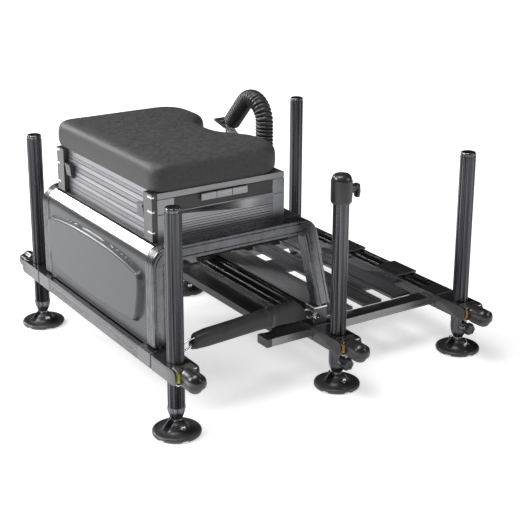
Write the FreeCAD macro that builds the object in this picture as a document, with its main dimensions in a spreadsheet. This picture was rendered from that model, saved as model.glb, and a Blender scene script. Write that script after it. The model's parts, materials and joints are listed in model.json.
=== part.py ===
import FreeCAD, Part
import math
import os
import re
import Sketcher

os.makedirs("parts", exist_ok=True)
doc = FreeCAD.newDocument("seat_box")
sheet = doc.addObject("Spreadsheet::Sheet", "Dims")
Vector = FreeCAD.Vector
Rotation = FreeCAD.Rotation

# Sizes in millimetres. X points forward, Y to the sitter's left, Z up, ground at Z = 0.
SIZES = [
    # Whole seat
    ("seat_width", "547"),
    ("seat_length", "408"),
    ("deck_reach", "357"),
    ("leg_offset", "65"),
    ("frame_top", "378"),
    ("leg_top", "485"),
    ("leg_y", "=seat_width / 2 + leg_offset"),
    ("rear_x", "=-(seat_length + deck_reach) / 2"),
    ("middle_x", "=rear_x + seat_length"),
    ("front_x", "=middle_x + deck_reach"),
    ("clearance", "0.5"),
    # Side frames
    ("bar_wide", "32"),
    ("bar_deep", "35"),
    ("bar_chamfer", "3"),
    ("bar_groove", "1.2"),
    ("rib_pitch", "4"),
    ("frame_y", "=seat_width / 2"),
    ("inner_y", "=frame_y - bar_wide"),
    ("bar_z", "=frame_top - bar_deep / 2"),
    ("post_x", "=rear_x + 3.5"),
    ("rear_bend", "24.5"),
    ("front_bend", "27.5"),
    ("bend_x", "=post_x + rear_bend"),
    ("bend_z", "=bar_z - rear_bend"),
    ("front_lean", "12.8"),
    ("post_foot", "166"),
    ("lean_foot", "170"),
    ("lean_x", "=middle_x + 9"),
    ("pillar_rear", "19"),
    ("pillar_front", "18"),
    ("spacer_r", "8"),
    ("spacer_tall", "6"),
    ("spacer_x", "=middle_x + 4"),
    # Leg tubes and clamps
    ("leg_r", "18"),
    ("leg_wall", "3"),
    ("leg_gap", "0.06"),
    ("flute_r", "7"),
    ("flute_depth", "0.7"),
    ("clamp_half", "28.5"),
    ("clamp_tall", "32"),
    ("arm_in", "112"),
    ("arm_out", "22"),
    ("cheek_reach", "48"),
    ("cheek_thick", "3.5"),
    ("cheek_corner", "10"),
    ("pad_thick", "2.5"),
    ("bracket_wall", "2.5"),
    ("bracket_gap", "0.3"),
    ("slit", "3"),
    ("screw_z", "=clamp_tall / 2"),
    ("screw_r", "4"),
    ("screw_gap", "0.3"),
    ("rear_clamp_z", "128"),
    ("front_clamp_z", "93"),
    ("beam_wall", "3"),
    ("beam_y", "=leg_y - arm_in"),
    ("ridge", "2"),
    ("ridge_wide", "10"),
    # Knobs on the clamps and on the leg ends
    ("hub_r", "12"),
    ("hub_start", "30"),
    ("knob_r", "22"),
    ("knob_start", "50"),
    ("knob_end", "100"),
    ("lobe_r", "26"),
    ("lobe_depth", "4"),
    ("lock_z", "64"),
    ("lock_boss_r", "9"),
    ("lock_start", "26"),
    ("lock_end", "44"),
    ("lock_r", "14.5"),
    # Leg ends and feet
    ("collar_r", "19.2"),
    ("collar_drop", "1.5"),
    ("rear_collar_z", "55"),
    ("rear_collar_tall", "7"),
    ("front_collar_z", "52"),
    ("spigot", "30"),
    ("neck_r", "11"),
    ("neck_z", "33"),
    ("pivot_z", "20"),
    ("pivot_r", "4"),
    ("pivot_gap", "0.05"),
    ("tongue", "17"),
    ("foot_r", "51.6"),
    ("foot_rim", "9"),
    ("foot_top", "28"),
    ("foot_floor", "10.5"),
    ("foot_slot", "60"),
    # Rear panel and top rail
    ("rail_out", "43"),
    ("rail_thick", "12"),
    ("panel_thick", "4"),
    ("panel_face", "11.5"),
    ("panel_bottom", "160"),
    ("field_proud", "12"),
    ("field_half", "229"),
    # Platform, trays and lid
    ("plate_thick", "12"),
    ("plate_top", "=frame_top - 2"),
    ("plate_start", "=rear_x + 14"),
    ("plate_end", "=rear_x + 372"),
    ("crossbar", "20"),
    ("crossbar_tall", "22"),
    ("tray_rear", "=rear_x + 23"),
    ("tray_front", "=rear_x + 334"),
    ("tray_y", "=inner_y - 10"),
    ("tray_wall", "4"),
    ("lower_tall", "57.5"),
    ("seam", "0.5"),
    ("tray_split", "=plate_top + lower_tall"),
    ("upper_low", "=tray_split + seam"),
    ("upper_tall", "32"),
    ("upper_top", "=upper_low + upper_tall"),
    ("lid_low", "=upper_top + seam"),
    ("lid_thick", "13"),
    ("lid_top", "=lid_low + lid_thick"),
    ("tray_groove", "1.2"),
    ("drawer_rear", "=rear_x + 63"),
    ("drawer_front", "=rear_x + 304"),
    ("drawer_wall", "2.5"),
    ("drawer_long", "440"),
    ("pull_proud", "7"),
    ("pull_rear", "=rear_x + 123"),
    ("pull_front", "=rear_x + 237"),
    ("pull_tall", "16"),
    ("pull_slope", "10"),
    ("column_rear", "=rear_x + 11"),
    ("column_wide", "36"),
    # Latches on the trays' rear face
    ("latch_y", "177"),
    ("latch_wide", "26"),
    ("latch_pin_x", "=tray_rear - 5"),
    ("latch_pin_z", "=tray_split - 12"),
    ("latch_top", "=tray_split + 15"),
    ("latch_pin_r", "1.5"),
    ("latch_gap", "0.1"),
    ("knuckle_r", "4"),
    # Cushion
    ("cushion_start", "=rear_x + 10"),
    ("cushion_long", "325"),
    ("cushion_half", "=inner_y"),
    ("cushion_tall", "64"),
    ("cushion_corner", "62"),
    ("notch_depth", "53"),
    ("notch_half", "78"),
    ("notch_y", "3"),
    # Carrying handle
    ("hose_x", "=rear_x + 385"),
    ("hose_y", "-28.5"),
    ("hose_bend", "48"),
    ("hose_arc_z", "547"),
    ("hose_foot_z", "430"),
    ("hose_turn", "136"),
    ("hose_tail", "81"),
    ("hose_peak", "20.6"),
    ("hose_valley", "18.4"),
    ("hose_bore", "12.8"),
    ("hose_pitch", "8.3"),
    ("web_wide", "25"),
    ("web_thick", "2.4"),
    ("web_left", "=hose_y + hose_bend * 1.85"),
    ("lug_z", "354"),
    ("lug_thick", "5"),
    ("lug_below", "8"),
    ("lug_above", "10"),
    ("buckle_long", "46"),
    ("buckle_thick", "6"),
    ("buckle_slot", "9"),
    ("buckle_ahead", "7.2"),
    ("buckle_drop", "4"),
    # Shoulder strap
    ("strap_rear", "=rear_x + 62"),
    ("strap_front", "=rear_x + 350"),
    ("strap_y", "=leg_y - 46"),
    ("strap_half", "15"),
    ("strap_low", "155"),
    ("shackle_r", "3.5"),
    # Footplate
    ("rail_near", "66"),
    ("rail_wide", "38"),
    ("rail_low", "98"),
    ("rail_tall", "19"),
    ("rail_start", "=rear_x + 266"),
    ("deck_top", "125"),
    ("slat_thick", "7"),
    ("slat_wide", "56"),
    ("slat_pitch", "86.5"),
    ("slat_start", "111"),
    ("slat_groove", "1.6"),
    ("rear_slat_reach", "319"),
    ("rear_slat_wide", "82"),
    ("slat_end_gap", "0"),
    ("cross_y", "102"),
    ("cross_half", "43"),
    ("cross_thick", "8"),
    ("tread_thick", "6"),
    ("shelf_start", "=rear_x + 307"),
    ("shelf_low", "108"),
    ("shelf_thick", "6"),
    ("lip_wide", "16"),
    # Accessory collar on the near middle leg
    ("ring_r", "23.5"),
    ("ring_low", "425"),
    ("ring_top", "474"),
    ("boss_z", "=ring_low + 28"),
    ("boss_r", "10"),
    ("wing_start", "=ring_r + 8"),
    ("wing_end", "=ring_r + 21"),
]

names = set()
for row, (name, value) in enumerate(SIZES, start=1):
    sheet.set(f"A{row}", name)
    sheet.set(f"B{row}", value)
    sheet.setAlias(f"B{row}", name)
    names.add(name)
doc.recompute()


def size(name):
    """The present value of one named size."""
    return float(sheet.get(name))


def bind(obj, prop, formula):
    """Drive a property by a formula of named sizes."""
    linked = re.sub(
        r"[a-z_][a-z_0-9]*",
        lambda word: "Dims." + word.group(0) if word.group(0) in names else word.group(0),
        str(formula),
    )
    obj.setExpression(prop, linked)


# Simple solids

def block(name, x, y, z):
    """A box; x, y and z each hold a low and a high formula."""
    box = doc.addObject("Part::Box", name)
    for prop, axis, (low, high) in (("Length", "x", x), ("Width", "y", y), ("Height", "z", z)):
        bind(box, prop, f"({high}) - ({low})")
        bind(box, f"Placement.Base.{axis}", low)
    return box


ALONG = {
    "x": Rotation(Vector(0, 1, 0), 90),
    "y": Rotation(Vector(1, 0, 0), -90),
    "z": Rotation(),
}


def place(obj, axis, span, centre):
    """Stand a round solid on an axis; centre holds the other two coordinates in order."""
    obj.Placement = FreeCAD.Placement(Vector(), ALONG[axis])
    others = [letter for letter in "xyz" if letter != axis]
    bind(obj, f"Placement.Base.{axis}", span[0])
    for letter, formula in zip(others, centre):
        bind(obj, f"Placement.Base.{letter}", formula)
    bind(obj, "Height", f"({span[1]}) - ({span[0]})")
    return obj


def rod(name, radius, axis, span, centre):
    """A round bar."""
    bar = doc.addObject("Part::Cylinder", name)
    bind(bar, "Radius", radius)
    return place(bar, axis, span, centre)


def cone(name, low_radius, high_radius, axis, span, centre):
    """A straight cone from its low end to its high end."""
    taper = doc.addObject("Part::Cone", name)
    bind(taper, "Radius1", low_radius)
    bind(taper, "Radius2", high_radius)
    return place(taper, axis, span, centre)


def joined(name, pieces):
    """Several touching solids made one."""
    union = doc.addObject("Part::MultiFuse", name)
    union.Shapes = pieces
    union.Refine = True
    return union


def carved(name, base, tools):
    """One solid with the tools taken away."""
    for number, tool in enumerate(tools):
        step = name if number == len(tools) - 1 else f"{name}_step_{number}"
        cut = doc.addObject("Part::Cut", step)
        cut.Base = base
        cut.Tool = tool
        base = cut
    return base


def group(name, pieces):
    """Separate solids under one name."""
    compound = doc.addObject("Part::Compound", name)
    compound.Links = pieces
    return compound


def mirrored(name, source):
    """The same piece for the other side of the seat."""
    mirror = doc.addObject("Part::Mirroring", name)
    mirror.Source = source
    mirror.Normal = (0, 1, 0)
    return mirror


def origin_part(body, role):
    """A plane or an axis of a body's own origin."""
    for feature in body.Origin.OriginFeatures:
        if feature.Role == role:
            return feature


def sketch(body, name, role, height=None):
    """An empty sketch on one of the body's planes, raised by a formula."""
    plan = body.newObject("Sketcher::SketchObject", name)
    plan.AttachmentSupport = (origin_part(body, role), [""])
    plan.MapMode = "FlatFace"
    if height is not None:
        bind(plan, "AttachmentOffset.Base.z", height)
    return plan


def polygon(plan, corners):
    """A closed outline through corners given as pairs of formulas."""
    count = len(corners)
    start = plan.GeometryCount
    spread = 200
    guess = []
    for number in range(count):
        angle = 2 * math.pi * number / count
        guess.append(Vector(spread * math.cos(angle), spread * math.sin(angle), 0))
    for number in range(count):
        plan.addGeometry(Part.LineSegment(guess[number], guess[(number + 1) % count]), False)
    for number in range(count):
        following = start + (number + 1) % count
        plan.addConstraint(Sketcher.Constraint("Coincident", start + number, 2, following, 1))
    for number, corner in enumerate(corners):
        spots = (guess[number].x, guess[number].y)
        for kind, formula, spot in zip(("DistanceX", "DistanceY"), corner, spots):
            index = plan.addConstraint(Sketcher.Constraint(kind, -1, 1, start + number, 1, spot))
            bind(plan, f"Constraints[{index}]", formula)


def prism(name, role, corners, low, high):
    """An outline on a plane, drawn out from low to high along the plane's axis."""
    body = doc.addObject("PartDesign::Body", name)
    height = f"-({high})" if role == "XZ_Plane" else low
    plan = sketch(body, f"{name}_outline", role, height)
    polygon(plan, corners)
    pad = body.newObject("PartDesign::Pad", f"{name}_pad")
    pad.Profile = plan
    bind(pad, "Length", f"({high}) - ({low})")
    return body


def turned(name, corners):
    """A profile in radius and height turned about the Z axis."""
    body = doc.addObject("PartDesign::Body", name)
    plan = sketch(body, f"{name}_profile", "XZ_Plane")
    polygon(plan, corners)
    spin = body.newObject("PartDesign::Revolution", f"{name}_spin")
    spin.Profile = plan
    spin.ReferenceAxis = (plan, ["V_Axis"])
    spin.Angle = 360
    return body


def turned_outward(name, corners):
    """A profile in radius and outward reach turned about the Y axis."""
    body = doc.addObject("PartDesign::Body", name)
    plan = sketch(body, f"{name}_profile", "XY_Plane")
    polygon(plan, corners)
    spin = body.newObject("PartDesign::Revolution", f"{name}_spin")
    spin.Profile = plan
    spin.ReferenceAxis = (plan, ["V_Axis"])
    spin.Angle = 360
    return body


def at_corner(name, pieces, leg_x, side, height="0"):
    """Pieces modelled about the near leg's axis, set at one of the six corners."""
    corner = group(name, pieces)
    if side == "far":
        corner.Placement = FreeCAD.Placement(Vector(), Rotation(Vector(0, 0, 1), 180))
    bind(corner, "Placement.Base.x", leg_x)
    bind(corner, "Placement.Base.y", "-leg_y" if side == "near" else "leg_y")
    bind(corner, "Placement.Base.z", height)
    return corner


nodes = {}


def node(name, piece):
    """Keep a finished piece under the name that its file gets."""
    piece.Label = name
    nodes[name] = piece
    return piece


def solid_from(name, shape):
    """A piece whose form is worked out point by point from the sheet."""
    feature = doc.addObject("Part::Feature", name)
    feature.Shape = shape
    feature.Placement = shape.Placement
    return feature


# Clamp casting, drawn about the near leg's axis with its underside at Z = 0

def casting(name, extra_cuts, extra_joins):
    """A split sleeve round the leg with an arm that reaches in to the beam."""
    arm = block(f"{name}_arm", ("-clamp_half", "clamp_half"), ("-arm_out", "arm_in"), ("0", "clamp_tall"))
    cheeks = []
    for tag, x_low, x_high in (
        ("rear", "-clamp_half", "-clamp_half + cheek_thick"),
        ("front", "clamp_half - cheek_thick", "clamp_half"),
    ):
        cheeks.append(prism(f"{name}_{tag}_cheek", "YZ_Plane", [
            ("-arm_out", "0"),
            ("-arm_out", "clamp_tall"),
            ("-cheek_reach + cheek_corner", "clamp_tall"),
            ("-cheek_reach + cheek_corner / 4", "clamp_tall - cheek_corner / 4"),
            ("-cheek_reach", "clamp_tall - cheek_corner"),
            ("-cheek_reach", "cheek_corner"),
            ("-cheek_reach + cheek_corner / 4", "cheek_corner / 4"),
            ("-cheek_reach + cheek_corner", "0"),
        ], x_low, x_high))
    body = joined(f"{name}_body", [arm] + cheeks + extra_joins)
    bore = rod(f"{name}_bore", "leg_r + leg_gap", "z", ("-1", "clamp_tall + 1"), ("0", "0"))
    slot = block(
        f"{name}_slit", ("-slit / 2", "slit / 2"), ("-arm_out - 1", "-leg_r / 2"), ("-1", "clamp_tall + 1")
    )
    hole = rod(
        f"{name}_screw_hole", "screw_r + screw_gap", "y", ("-arm_out - 1", "-leg_r / 2"), ("0", "screw_z")
    )
    band = []
    for tag, x, z in (
        ("top", ("-clamp_half - 1", "clamp_half + 1"), ("clamp_tall - bar_groove", "clamp_tall + 1")),
        ("rear", ("-clamp_half - 1", "-clamp_half + bar_groove"), ("-1", "clamp_tall + 1")),
        ("front", ("clamp_half - bar_groove", "clamp_half + 1"), ("-1", "clamp_tall + 1")),
    ):
        band.append(block(f"{name}_{tag}_band", x, ("arm_in / 2 - 6", "arm_in / 2"), z))
    return carved(name, body, [bore, slot, hole] + band + extra_cuts)


rear_casting = casting("rear_casting", [], [])
rail_slot = block(
    "rail_slot",
    ("-clamp_half - 1", "clamp_half + 1"),
    ("rail_near - clearance", "rail_near + rail_wide + clearance"),
    ("rail_low - clearance - front_clamp_z", "rail_low + rail_tall + clearance - front_clamp_z"),
)
middle_casting = casting("middle_casting", [rail_slot], [])
front_casting = casting("front_casting", [], [])

ROWS = (
    ("rear", "rear_x", "rear_clamp_z", rear_casting),
    ("middle", "middle_x", "front_clamp_z", middle_casting),
    ("front", "front_x", "front_clamp_z", front_casting),
)
SIDES = ("near", "far")

for row, leg_x, height, master in ROWS:
    pair = [at_corner(f"{row}_{side}_arm", [master], leg_x, side, height) for side in SIDES]
    node(f"clamp_arms_{row}", group(f"clamp_arms_{row}_pair", pair))

# Folded metal channel between the cheeks, which carries each clamp screw

bracket_half = "clamp_half - cheek_thick - pad_thick"
bracket_block = block(
    "bracket_block",
    (f"-({bracket_half})", bracket_half),
    ("-cheek_reach", "-arm_out - bracket_gap"),
    ("clearance", "clamp_tall - clearance"),
)
bracket_hollow = block(
    "bracket_hollow",
    (f"-({bracket_half}) - 1", f"{bracket_half} + 1"),
    ("-cheek_reach - 1", "-arm_out - bracket_gap - bracket_wall"),
    ("clearance + bracket_wall", "clamp_tall - clearance - bracket_wall"),
)
bracket_hole = rod(
    "bracket_hole", "screw_r + clearance", "y", ("-cheek_reach", "-arm_out + 1"), ("0", "screw_z")
)
bracket = carved("bracket", bracket_block, [bracket_hollow, bracket_hole])

seat_brackets = []
deck_brackets = []
for row, leg_x, height, master in ROWS:
    for side in SIDES:
        piece = at_corner(f"{row}_{side}_bracket", [bracket], leg_x, side, height)
        (deck_brackets if row == "front" else seat_brackets).append(piece)
node("clamp_brackets_seat", group("clamp_brackets_seat_four", seat_brackets))
node("clamp_brackets_deck", group("clamp_brackets_deck_two", deck_brackets))

# Clamp knob: screw, hub and a lobed bullet-shaped grip

knob_nose = []
for step in range(1, 7):
    angle = 90 * step / 7
    knob_nose.append((
        f"knob_r * cos({angle:.3f})",
        f"-knob_end + knob_r * 0.8 - knob_r * 0.8 * sin({angle:.3f})",
    ))
knob_nose += [("screw_r / 2", "-knob_end"), ("0", "-knob_end")]
knob_master = turned_outward("knob_master", [
    ("0", "-leg_r - clearance"),
    ("screw_r", "-leg_r - clearance"),
    ("screw_r", "-hub_start"),
    ("hub_r", "-hub_start"),
    ("hub_r", "-knob_start"),
    ("knob_r - 2", "-knob_start"),
    ("knob_r", "-knob_start - 2"),
    ("knob_r", "-knob_end + knob_r * 0.8"),
] + knob_nose)
lobe_plan = sketch(knob_master, "knob_lobe_plan", "XZ_Plane", "knob_start + 6")
lobe_out = size("knob_r") + size("lobe_r") - size("lobe_depth")
lobe_round = Part.Circle(Vector(lobe_out, 0, 0), Vector(0, 0, 1), size("lobe_r"))
lobe_circle = lobe_plan.addGeometry(lobe_round, False)
lobe_x = lobe_plan.addConstraint(Sketcher.Constraint("DistanceX", -1, 1, lobe_circle, 3, lobe_out))
lobe_plan.addConstraint(Sketcher.Constraint("PointOnObject", lobe_circle, 3, -1))
lobe_size = lobe_plan.addConstraint(Sketcher.Constraint("Radius", lobe_circle, size("lobe_r")))
bind(lobe_plan, f"Constraints[{lobe_x}]", "knob_r + lobe_r - lobe_depth")
bind(lobe_plan, f"Constraints[{lobe_size}]", "lobe_r")
lobe_cut = knob_master.newObject("PartDesign::Pocket", "knob_lobe")
lobe_cut.Profile = lobe_plan
lobe_cut.Reversed = True
bind(lobe_cut, "Length", "knob_end")
lobes = knob_master.newObject("PartDesign::PolarPattern", "knob_lobes")
lobes.Originals = [lobe_cut]
lobes.Axis = (origin_part(knob_master, "Y_Axis"), [""])
lobes.Angle = 360
lobes.Occurrences = 3
knob_master.Tip = lobes

for row, leg_x, height, master in ROWS:
    for side in SIDES:
        name = f"clamp_knob_{side}_{row}"
        node(name, at_corner(f"{name}_at", [knob_master], leg_x, side, f"{height} + screw_z"))

# Legs: fluted tube, cap and end fitting, drawn about the leg's axis

def leg_tube(name, low):
    """An aluminium tube with ten shallow flutes."""
    body = doc.addObject("PartDesign::Body", name)
    plan = sketch(body, f"{name}_ring", "XY_Plane", low)
    outer = size("leg_r")
    for radius, formula in ((outer, "leg_r"), (outer - size("leg_wall"), "leg_r - leg_wall")):
        circle = plan.addGeometry(Part.Circle(Vector(), Vector(0, 0, 1), radius), False)
        plan.addConstraint(Sketcher.Constraint("Coincident", circle, 3, -1, 1))
        index = plan.addConstraint(Sketcher.Constraint("Radius", circle, radius))
        bind(plan, f"Constraints[{index}]", formula)
    pad = body.newObject("PartDesign::Pad", f"{name}_pad")
    pad.Profile = plan
    bind(pad, "Length", f"leg_top - leg_r / 2 - ({low})")
    flute_plan = sketch(body, f"{name}_flute_plan", "XY_Plane", low)
    flute_out = outer + size("flute_r") - size("flute_depth")
    flute_round = Part.Circle(Vector(flute_out, 0, 0), Vector(0, 0, 1), size("flute_r"))
    circle = flute_plan.addGeometry(flute_round, False)
    reach = flute_plan.addConstraint(Sketcher.Constraint("DistanceX", -1, 1, circle, 3, flute_out))
    flute_plan.addConstraint(Sketcher.Constraint("PointOnObject", circle, 3, -1))
    radius = flute_plan.addConstraint(Sketcher.Constraint("Radius", circle, size("flute_r")))
    bind(flute_plan, f"Constraints[{reach}]", "leg_r + flute_r - flute_depth")
    bind(flute_plan, f"Constraints[{radius}]", "flute_r")
    flute = body.newObject("PartDesign::Pocket", f"{name}_flute")
    flute.Profile = flute_plan
    flute.Reversed = True
    bind(flute, "Length", "leg_top")
    flutes = body.newObject("PartDesign::PolarPattern", f"{name}_flutes")
    flutes.Originals = [flute]
    flutes.Axis = (origin_part(body, "Z_Axis"), [""])
    flutes.Angle = 360
    flutes.Occurrences = 10
    body.Tip = flutes
    return body


plug_r = "leg_r - leg_wall - clearance / 5"
leg_cap = joined("leg_cap", [
    rod("cap_plug", plug_r, "z", ("leg_top - leg_r * 1.5", "leg_top - leg_r / 2"), ("0", "0")),
    cone("cap_head", "leg_r", "leg_r - 1.5", "z", ("leg_top - leg_r / 2", "leg_top"), ("0", "0")),
])


def leg_end(name, collar_low, collar_high, with_boss):
    """The fitting in the tube's lower end, down to the tongue that carries the foot."""
    half = "tongue / 2"
    pieces = [
        rod(f"{name}_spigot", plug_r, "z", (collar_low, f"{collar_high} + spigot"), ("0", "0")),
        rod(f"{name}_collar", "collar_r", "z", (collar_low, collar_high), ("0", "0")),
        cone(f"{name}_taper", "neck_r", "collar_r", "z", ("neck_z", collar_low), ("0", "0")),
        rod(f"{name}_tongue_end", half, "y", (f"-{half}", half), ("0", "pivot_z")),
        block(f"{name}_tongue", (f"-{half}", half), (f"-{half}", half), ("pivot_z", "neck_z + 4")),
    ]
    cuts = [
        rod(f"{name}_pivot_hole", "pivot_r + pivot_gap", "y", ("-tongue", "tongue"), ("0", "pivot_z")),
    ]
    if with_boss:
        pieces.append(
            rod(f"{name}_boss", "lock_boss_r", "y", ("-lock_start + clearance", "0"), ("0", "lock_z"))
        )
        cuts.append(rod(
            f"{name}_lock_hole", "screw_r + screw_gap", "y", ("-lock_start", "-lock_boss_r"), ("0", "lock_z")
        ))
    return carved(name, joined(f"{name}_body", pieces), cuts)


rear_collar_top = "rear_collar_z + rear_collar_tall"
front_collar_top = "front_clamp_z - collar_drop"
rear_leg = [
    leg_tube("rear_tube", rear_collar_top),
    leg_cap,
    leg_end("rear_leg_end", "rear_collar_z", rear_collar_top, False),
]
front_leg = [
    leg_tube("front_tube", front_collar_top),
    leg_cap,
    leg_end("front_leg_end", "front_collar_z", front_collar_top, True),
]

for row, leg_x, height, master in ROWS:
    for side in SIDES:
        name = f"leg_{side}_{row}"
        node(name, at_corner(f"{name}_at", rear_leg if row == "rear" else front_leg, leg_x, side))

# Foot: a wide disc that tilts on a cross bolt in the leg's tongue

foot_disc = turned("foot_disc", [
    ("0", "0"),
    ("foot_r - 2", "0"),
    ("foot_r", "2"),
    ("foot_r", "foot_rim - 2"),
    ("foot_r - 3", "foot_rim"),
    ("foot_r - 14", "foot_rim + 4"),
    ("tongue + 6", "foot_rim + 9"),
    ("tongue", "foot_top"),
    ("0", "foot_top"),
])
notch_plan = sketch(foot_disc, "foot_notch_plan", "XY_Plane")
polygon(notch_plan, [
    ("foot_r - 6", "-8"),
    ("foot_r + 6", "-8"),
    ("foot_r + 6", "8"),
    ("foot_r - 6", "8"),
])
notch_cut = foot_disc.newObject("PartDesign::Pocket", "foot_notch")
notch_cut.Profile = notch_plan
notch_cut.Reversed = True
bind(notch_cut, "Length", "foot_rim / 3")
notches = foot_disc.newObject("PartDesign::PolarPattern", "foot_notches")
notches.Originals = [notch_cut]
notches.Axis = (origin_part(foot_disc, "Z_Axis"), [""])
notches.Angle = 360
notches.Occurrences = 6
foot_disc.Tip = notches

foot_half_slot = "tongue / 2 + clearance"
foot_body = carved("foot_body", foot_disc, [
    block(
        "foot_slot_cut",
        ("-foot_slot / 2", "foot_slot / 2"),
        (f"-({foot_half_slot})", foot_half_slot),
        ("foot_floor", "foot_top + 1"),
    ),
    rod("foot_bolt_hole", "pivot_r + pivot_gap / 2", "y", ("-foot_r / 2", "foot_r / 2"), ("0", "pivot_z")),
])
foot_bolt = joined("foot_bolt", [
    rod("foot_bolt_shank", "pivot_r", "y", ("-tongue - 4", "tongue + 4"), ("0", "pivot_z")),
    rod("foot_bolt_head", "pivot_r + 2.5", "y", ("-tongue - 7", "-tongue - 4"), ("0", "pivot_z")),
    rod("foot_bolt_nut", "pivot_r + 2.5", "y", ("tongue + 4", "tongue + 7"), ("0", "pivot_z")),
])
foot_solid = carved("foot_solid", foot_body, [
    rod("foot_head_seat", "pivot_r + 3", "y", ("-foot_r", "-tongue - 4"), ("0", "pivot_z")),
    rod("foot_nut_seat", "pivot_r + 3", "y", ("tongue + 4", "foot_r"), ("0", "pivot_z")),
])

for row, leg_x, height, master in ROWS:
    for side in SIDES:
        name = f"foot_{side}_{row}"
        node(name, at_corner(f"{name}_at", [foot_solid, foot_bolt], leg_x, side))

# Lock knob on the four forward leg ends

lock_outline = []
for step in range(12):
    reach = f"lock_r * {1 if step % 2 else 0.9}"
    lock_outline.append((f"{reach} * cos({30 * step})", f"{reach} * sin({30 * step})"))
lock_grip = prism("lock_grip", "XZ_Plane", lock_outline, "-lock_end", "-lock_start")
lock_master = joined("lock_master", [
    lock_grip,
    rod("lock_screw", "screw_r", "y", ("-lock_start - 1", "-lock_boss_r - 2"), ("0", "0")),
])
for row, leg_x, height, master in ROWS[1:]:
    for side in SIDES:
        name = f"lock_knob_{side}_{row}"
        node(name, at_corner(f"{name}_at", [lock_master], leg_x, side, "lock_z"))

# Cross beams: hollow extrusions between the castings

def beam(name, leg_x, low, side_grooves):
    """A box section with two ridges on top and, where wanted, fine grooves behind."""
    outer = [block(
        f"{name}_outer",
        (f"{leg_x} - clamp_half", f"{leg_x} + clamp_half"),
        ("-beam_y", "beam_y"),
        (low, f"{low} + clamp_tall - ridge"),
    )]
    for tag, x_low, x_high in (
        ("rear", f"{leg_x} - clamp_half", f"{leg_x} - clamp_half + ridge_wide"),
        ("middle", f"{leg_x} - ridge_wide / 2 - 3", f"{leg_x} + ridge_wide / 2 + 3"),
        ("front", f"{leg_x} + clamp_half - ridge_wide", f"{leg_x} + clamp_half"),
    ):
        outer.append(block(
            f"{name}_{tag}_ridge", (x_low, x_high), ("-beam_y", "beam_y"),
            (f"{low} + clamp_tall - ridge - 1", f"{low} + clamp_tall"),
        ))
    tools = [block(
        f"{name}_hollow",
        (f"{leg_x} - clamp_half + beam_wall", f"{leg_x} + clamp_half - beam_wall"),
        ("-beam_y - 1", "beam_y + 1"),
        (f"{low} + beam_wall", f"{low} + clamp_tall - ridge - beam_wall"),
    )]
    for number in range(side_grooves):
        tools.append(block(
            f"{name}_groove_{number}",
            (f"{leg_x} - clamp_half - 1", f"{leg_x} - clamp_half + bar_groove / 1.5"),
            ("-beam_y - 1", "beam_y + 1"),
            (f"{low} + 5 + {number} * rib_pitch", f"{low} + 5 + bar_groove + {number} * rib_pitch"),
        ))
    return carved(name, joined(f"{name}_section", outer), tools)


node("rear_beam", beam("rear_beam_cut", "rear_x", "rear_clamp_z", 6))
node("middle_beam", beam("middle_beam_cut", "middle_x", "front_clamp_z", 0))
node("front_beam", beam("front_beam_cut", "front_x", "front_clamp_z", 0))

# Side frames: one bent extrusion each

def frame_path():
    """The centreline of a side frame, from the rear post's foot to the leaning front post."""
    lean = math.radians(size("front_lean"))
    slope = Vector(math.sin(lean), 0, -math.cos(lean))
    top = size("bar_z")
    rear = size("rear_bend")
    front = size("front_bend")
    foot_x = size("lean_x")
    foot_z = size("lean_foot")
    corner_x = foot_x - (top - foot_z) * math.tan(lean)
    setback = front * math.tan((math.pi / 2 - lean) / 2)
    start = Vector(size("post_x"), 0, size("post_foot"))
    bend_low = Vector(size("post_x"), 0, top - rear)
    bend_mid = Vector(
        size("bend_x") - rear * math.cos(math.pi / 4), 0, size("bend_z") + rear * math.sin(math.pi / 4)
    )
    bend_high = Vector(size("bend_x"), 0, top)
    turn_start = Vector(corner_x - setback, 0, top)
    centre = turn_start + Vector(0, 0, -front)
    half_turn = (math.pi / 2 - lean) / 2
    turn_mid = centre + Vector(front * math.sin(half_turn), 0, front * math.cos(half_turn))
    turn_end = Vector(corner_x, 0, top) + slope * setback
    past_foot = (turn_end.z - foot_z + size("bar_deep")) / math.cos(lean)
    end = turn_end + slope * past_foot
    return [
        Part.makeLine(start, bend_low),
        Part.Arc(bend_low, bend_mid, bend_high).toShape(),
        Part.makeLine(bend_high, turn_start),
        Part.Arc(turn_start, turn_mid, turn_end).toShape(),
        Part.makeLine(turn_end, end),
    ]


def frame_section():
    """The bar's outline: chamfered corners, two grooves outside and three over its back."""
    half = size("bar_deep") / 2
    wide = size("bar_wide")
    cut = size("bar_chamfer")
    groove = size("bar_groove")
    outline = [(-half, wide - cut), (-half, cut), (-half + cut, 0)]
    step = groove / 2
    for centre in (-half + half / 2, half - half / 2):
        outline += [(centre - groove, 0), (centre - step, groove)]
        outline += [(centre + step, groove), (centre + groove, 0)]
    outline += [(half - cut, 0), (half, cut)]
    for number in (-1, 0, 1):
        centre = wide / 2 + number * size("rib_pitch") * 1.6
        outline += [(half, centre - groove), (half - groove, centre - step)]
        outline += [(half - groove, centre + step), (half, centre + groove)]
    outline += [(half, wide - cut), (half - cut, wide), (-half + cut, wide)]
    points = [
        Vector(size("post_x") - offset, -size("frame_y") + depth, size("post_foot"))
        for offset, depth in outline
    ]
    return Part.makePolygon(points + [points[0]])


def frame_shape():
    """The swept bar, cut level where it stands on the middle casting."""
    sweep = Part.Wire(frame_path()).makePipeShell([frame_section()], True, False)
    room = 100
    below = Part.makeBox(
        2 * room, 2 * room, room,
        Vector(size("lean_x") - room, -size("frame_y") - room, size("lean_foot") - room),
    )
    return sweep.cut(below)


side_frame = node("side_frame_near", solid_from("side_frame_bar", frame_shape()))
node("side_frame_far", mirrored("side_frame_other", side_frame))

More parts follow.
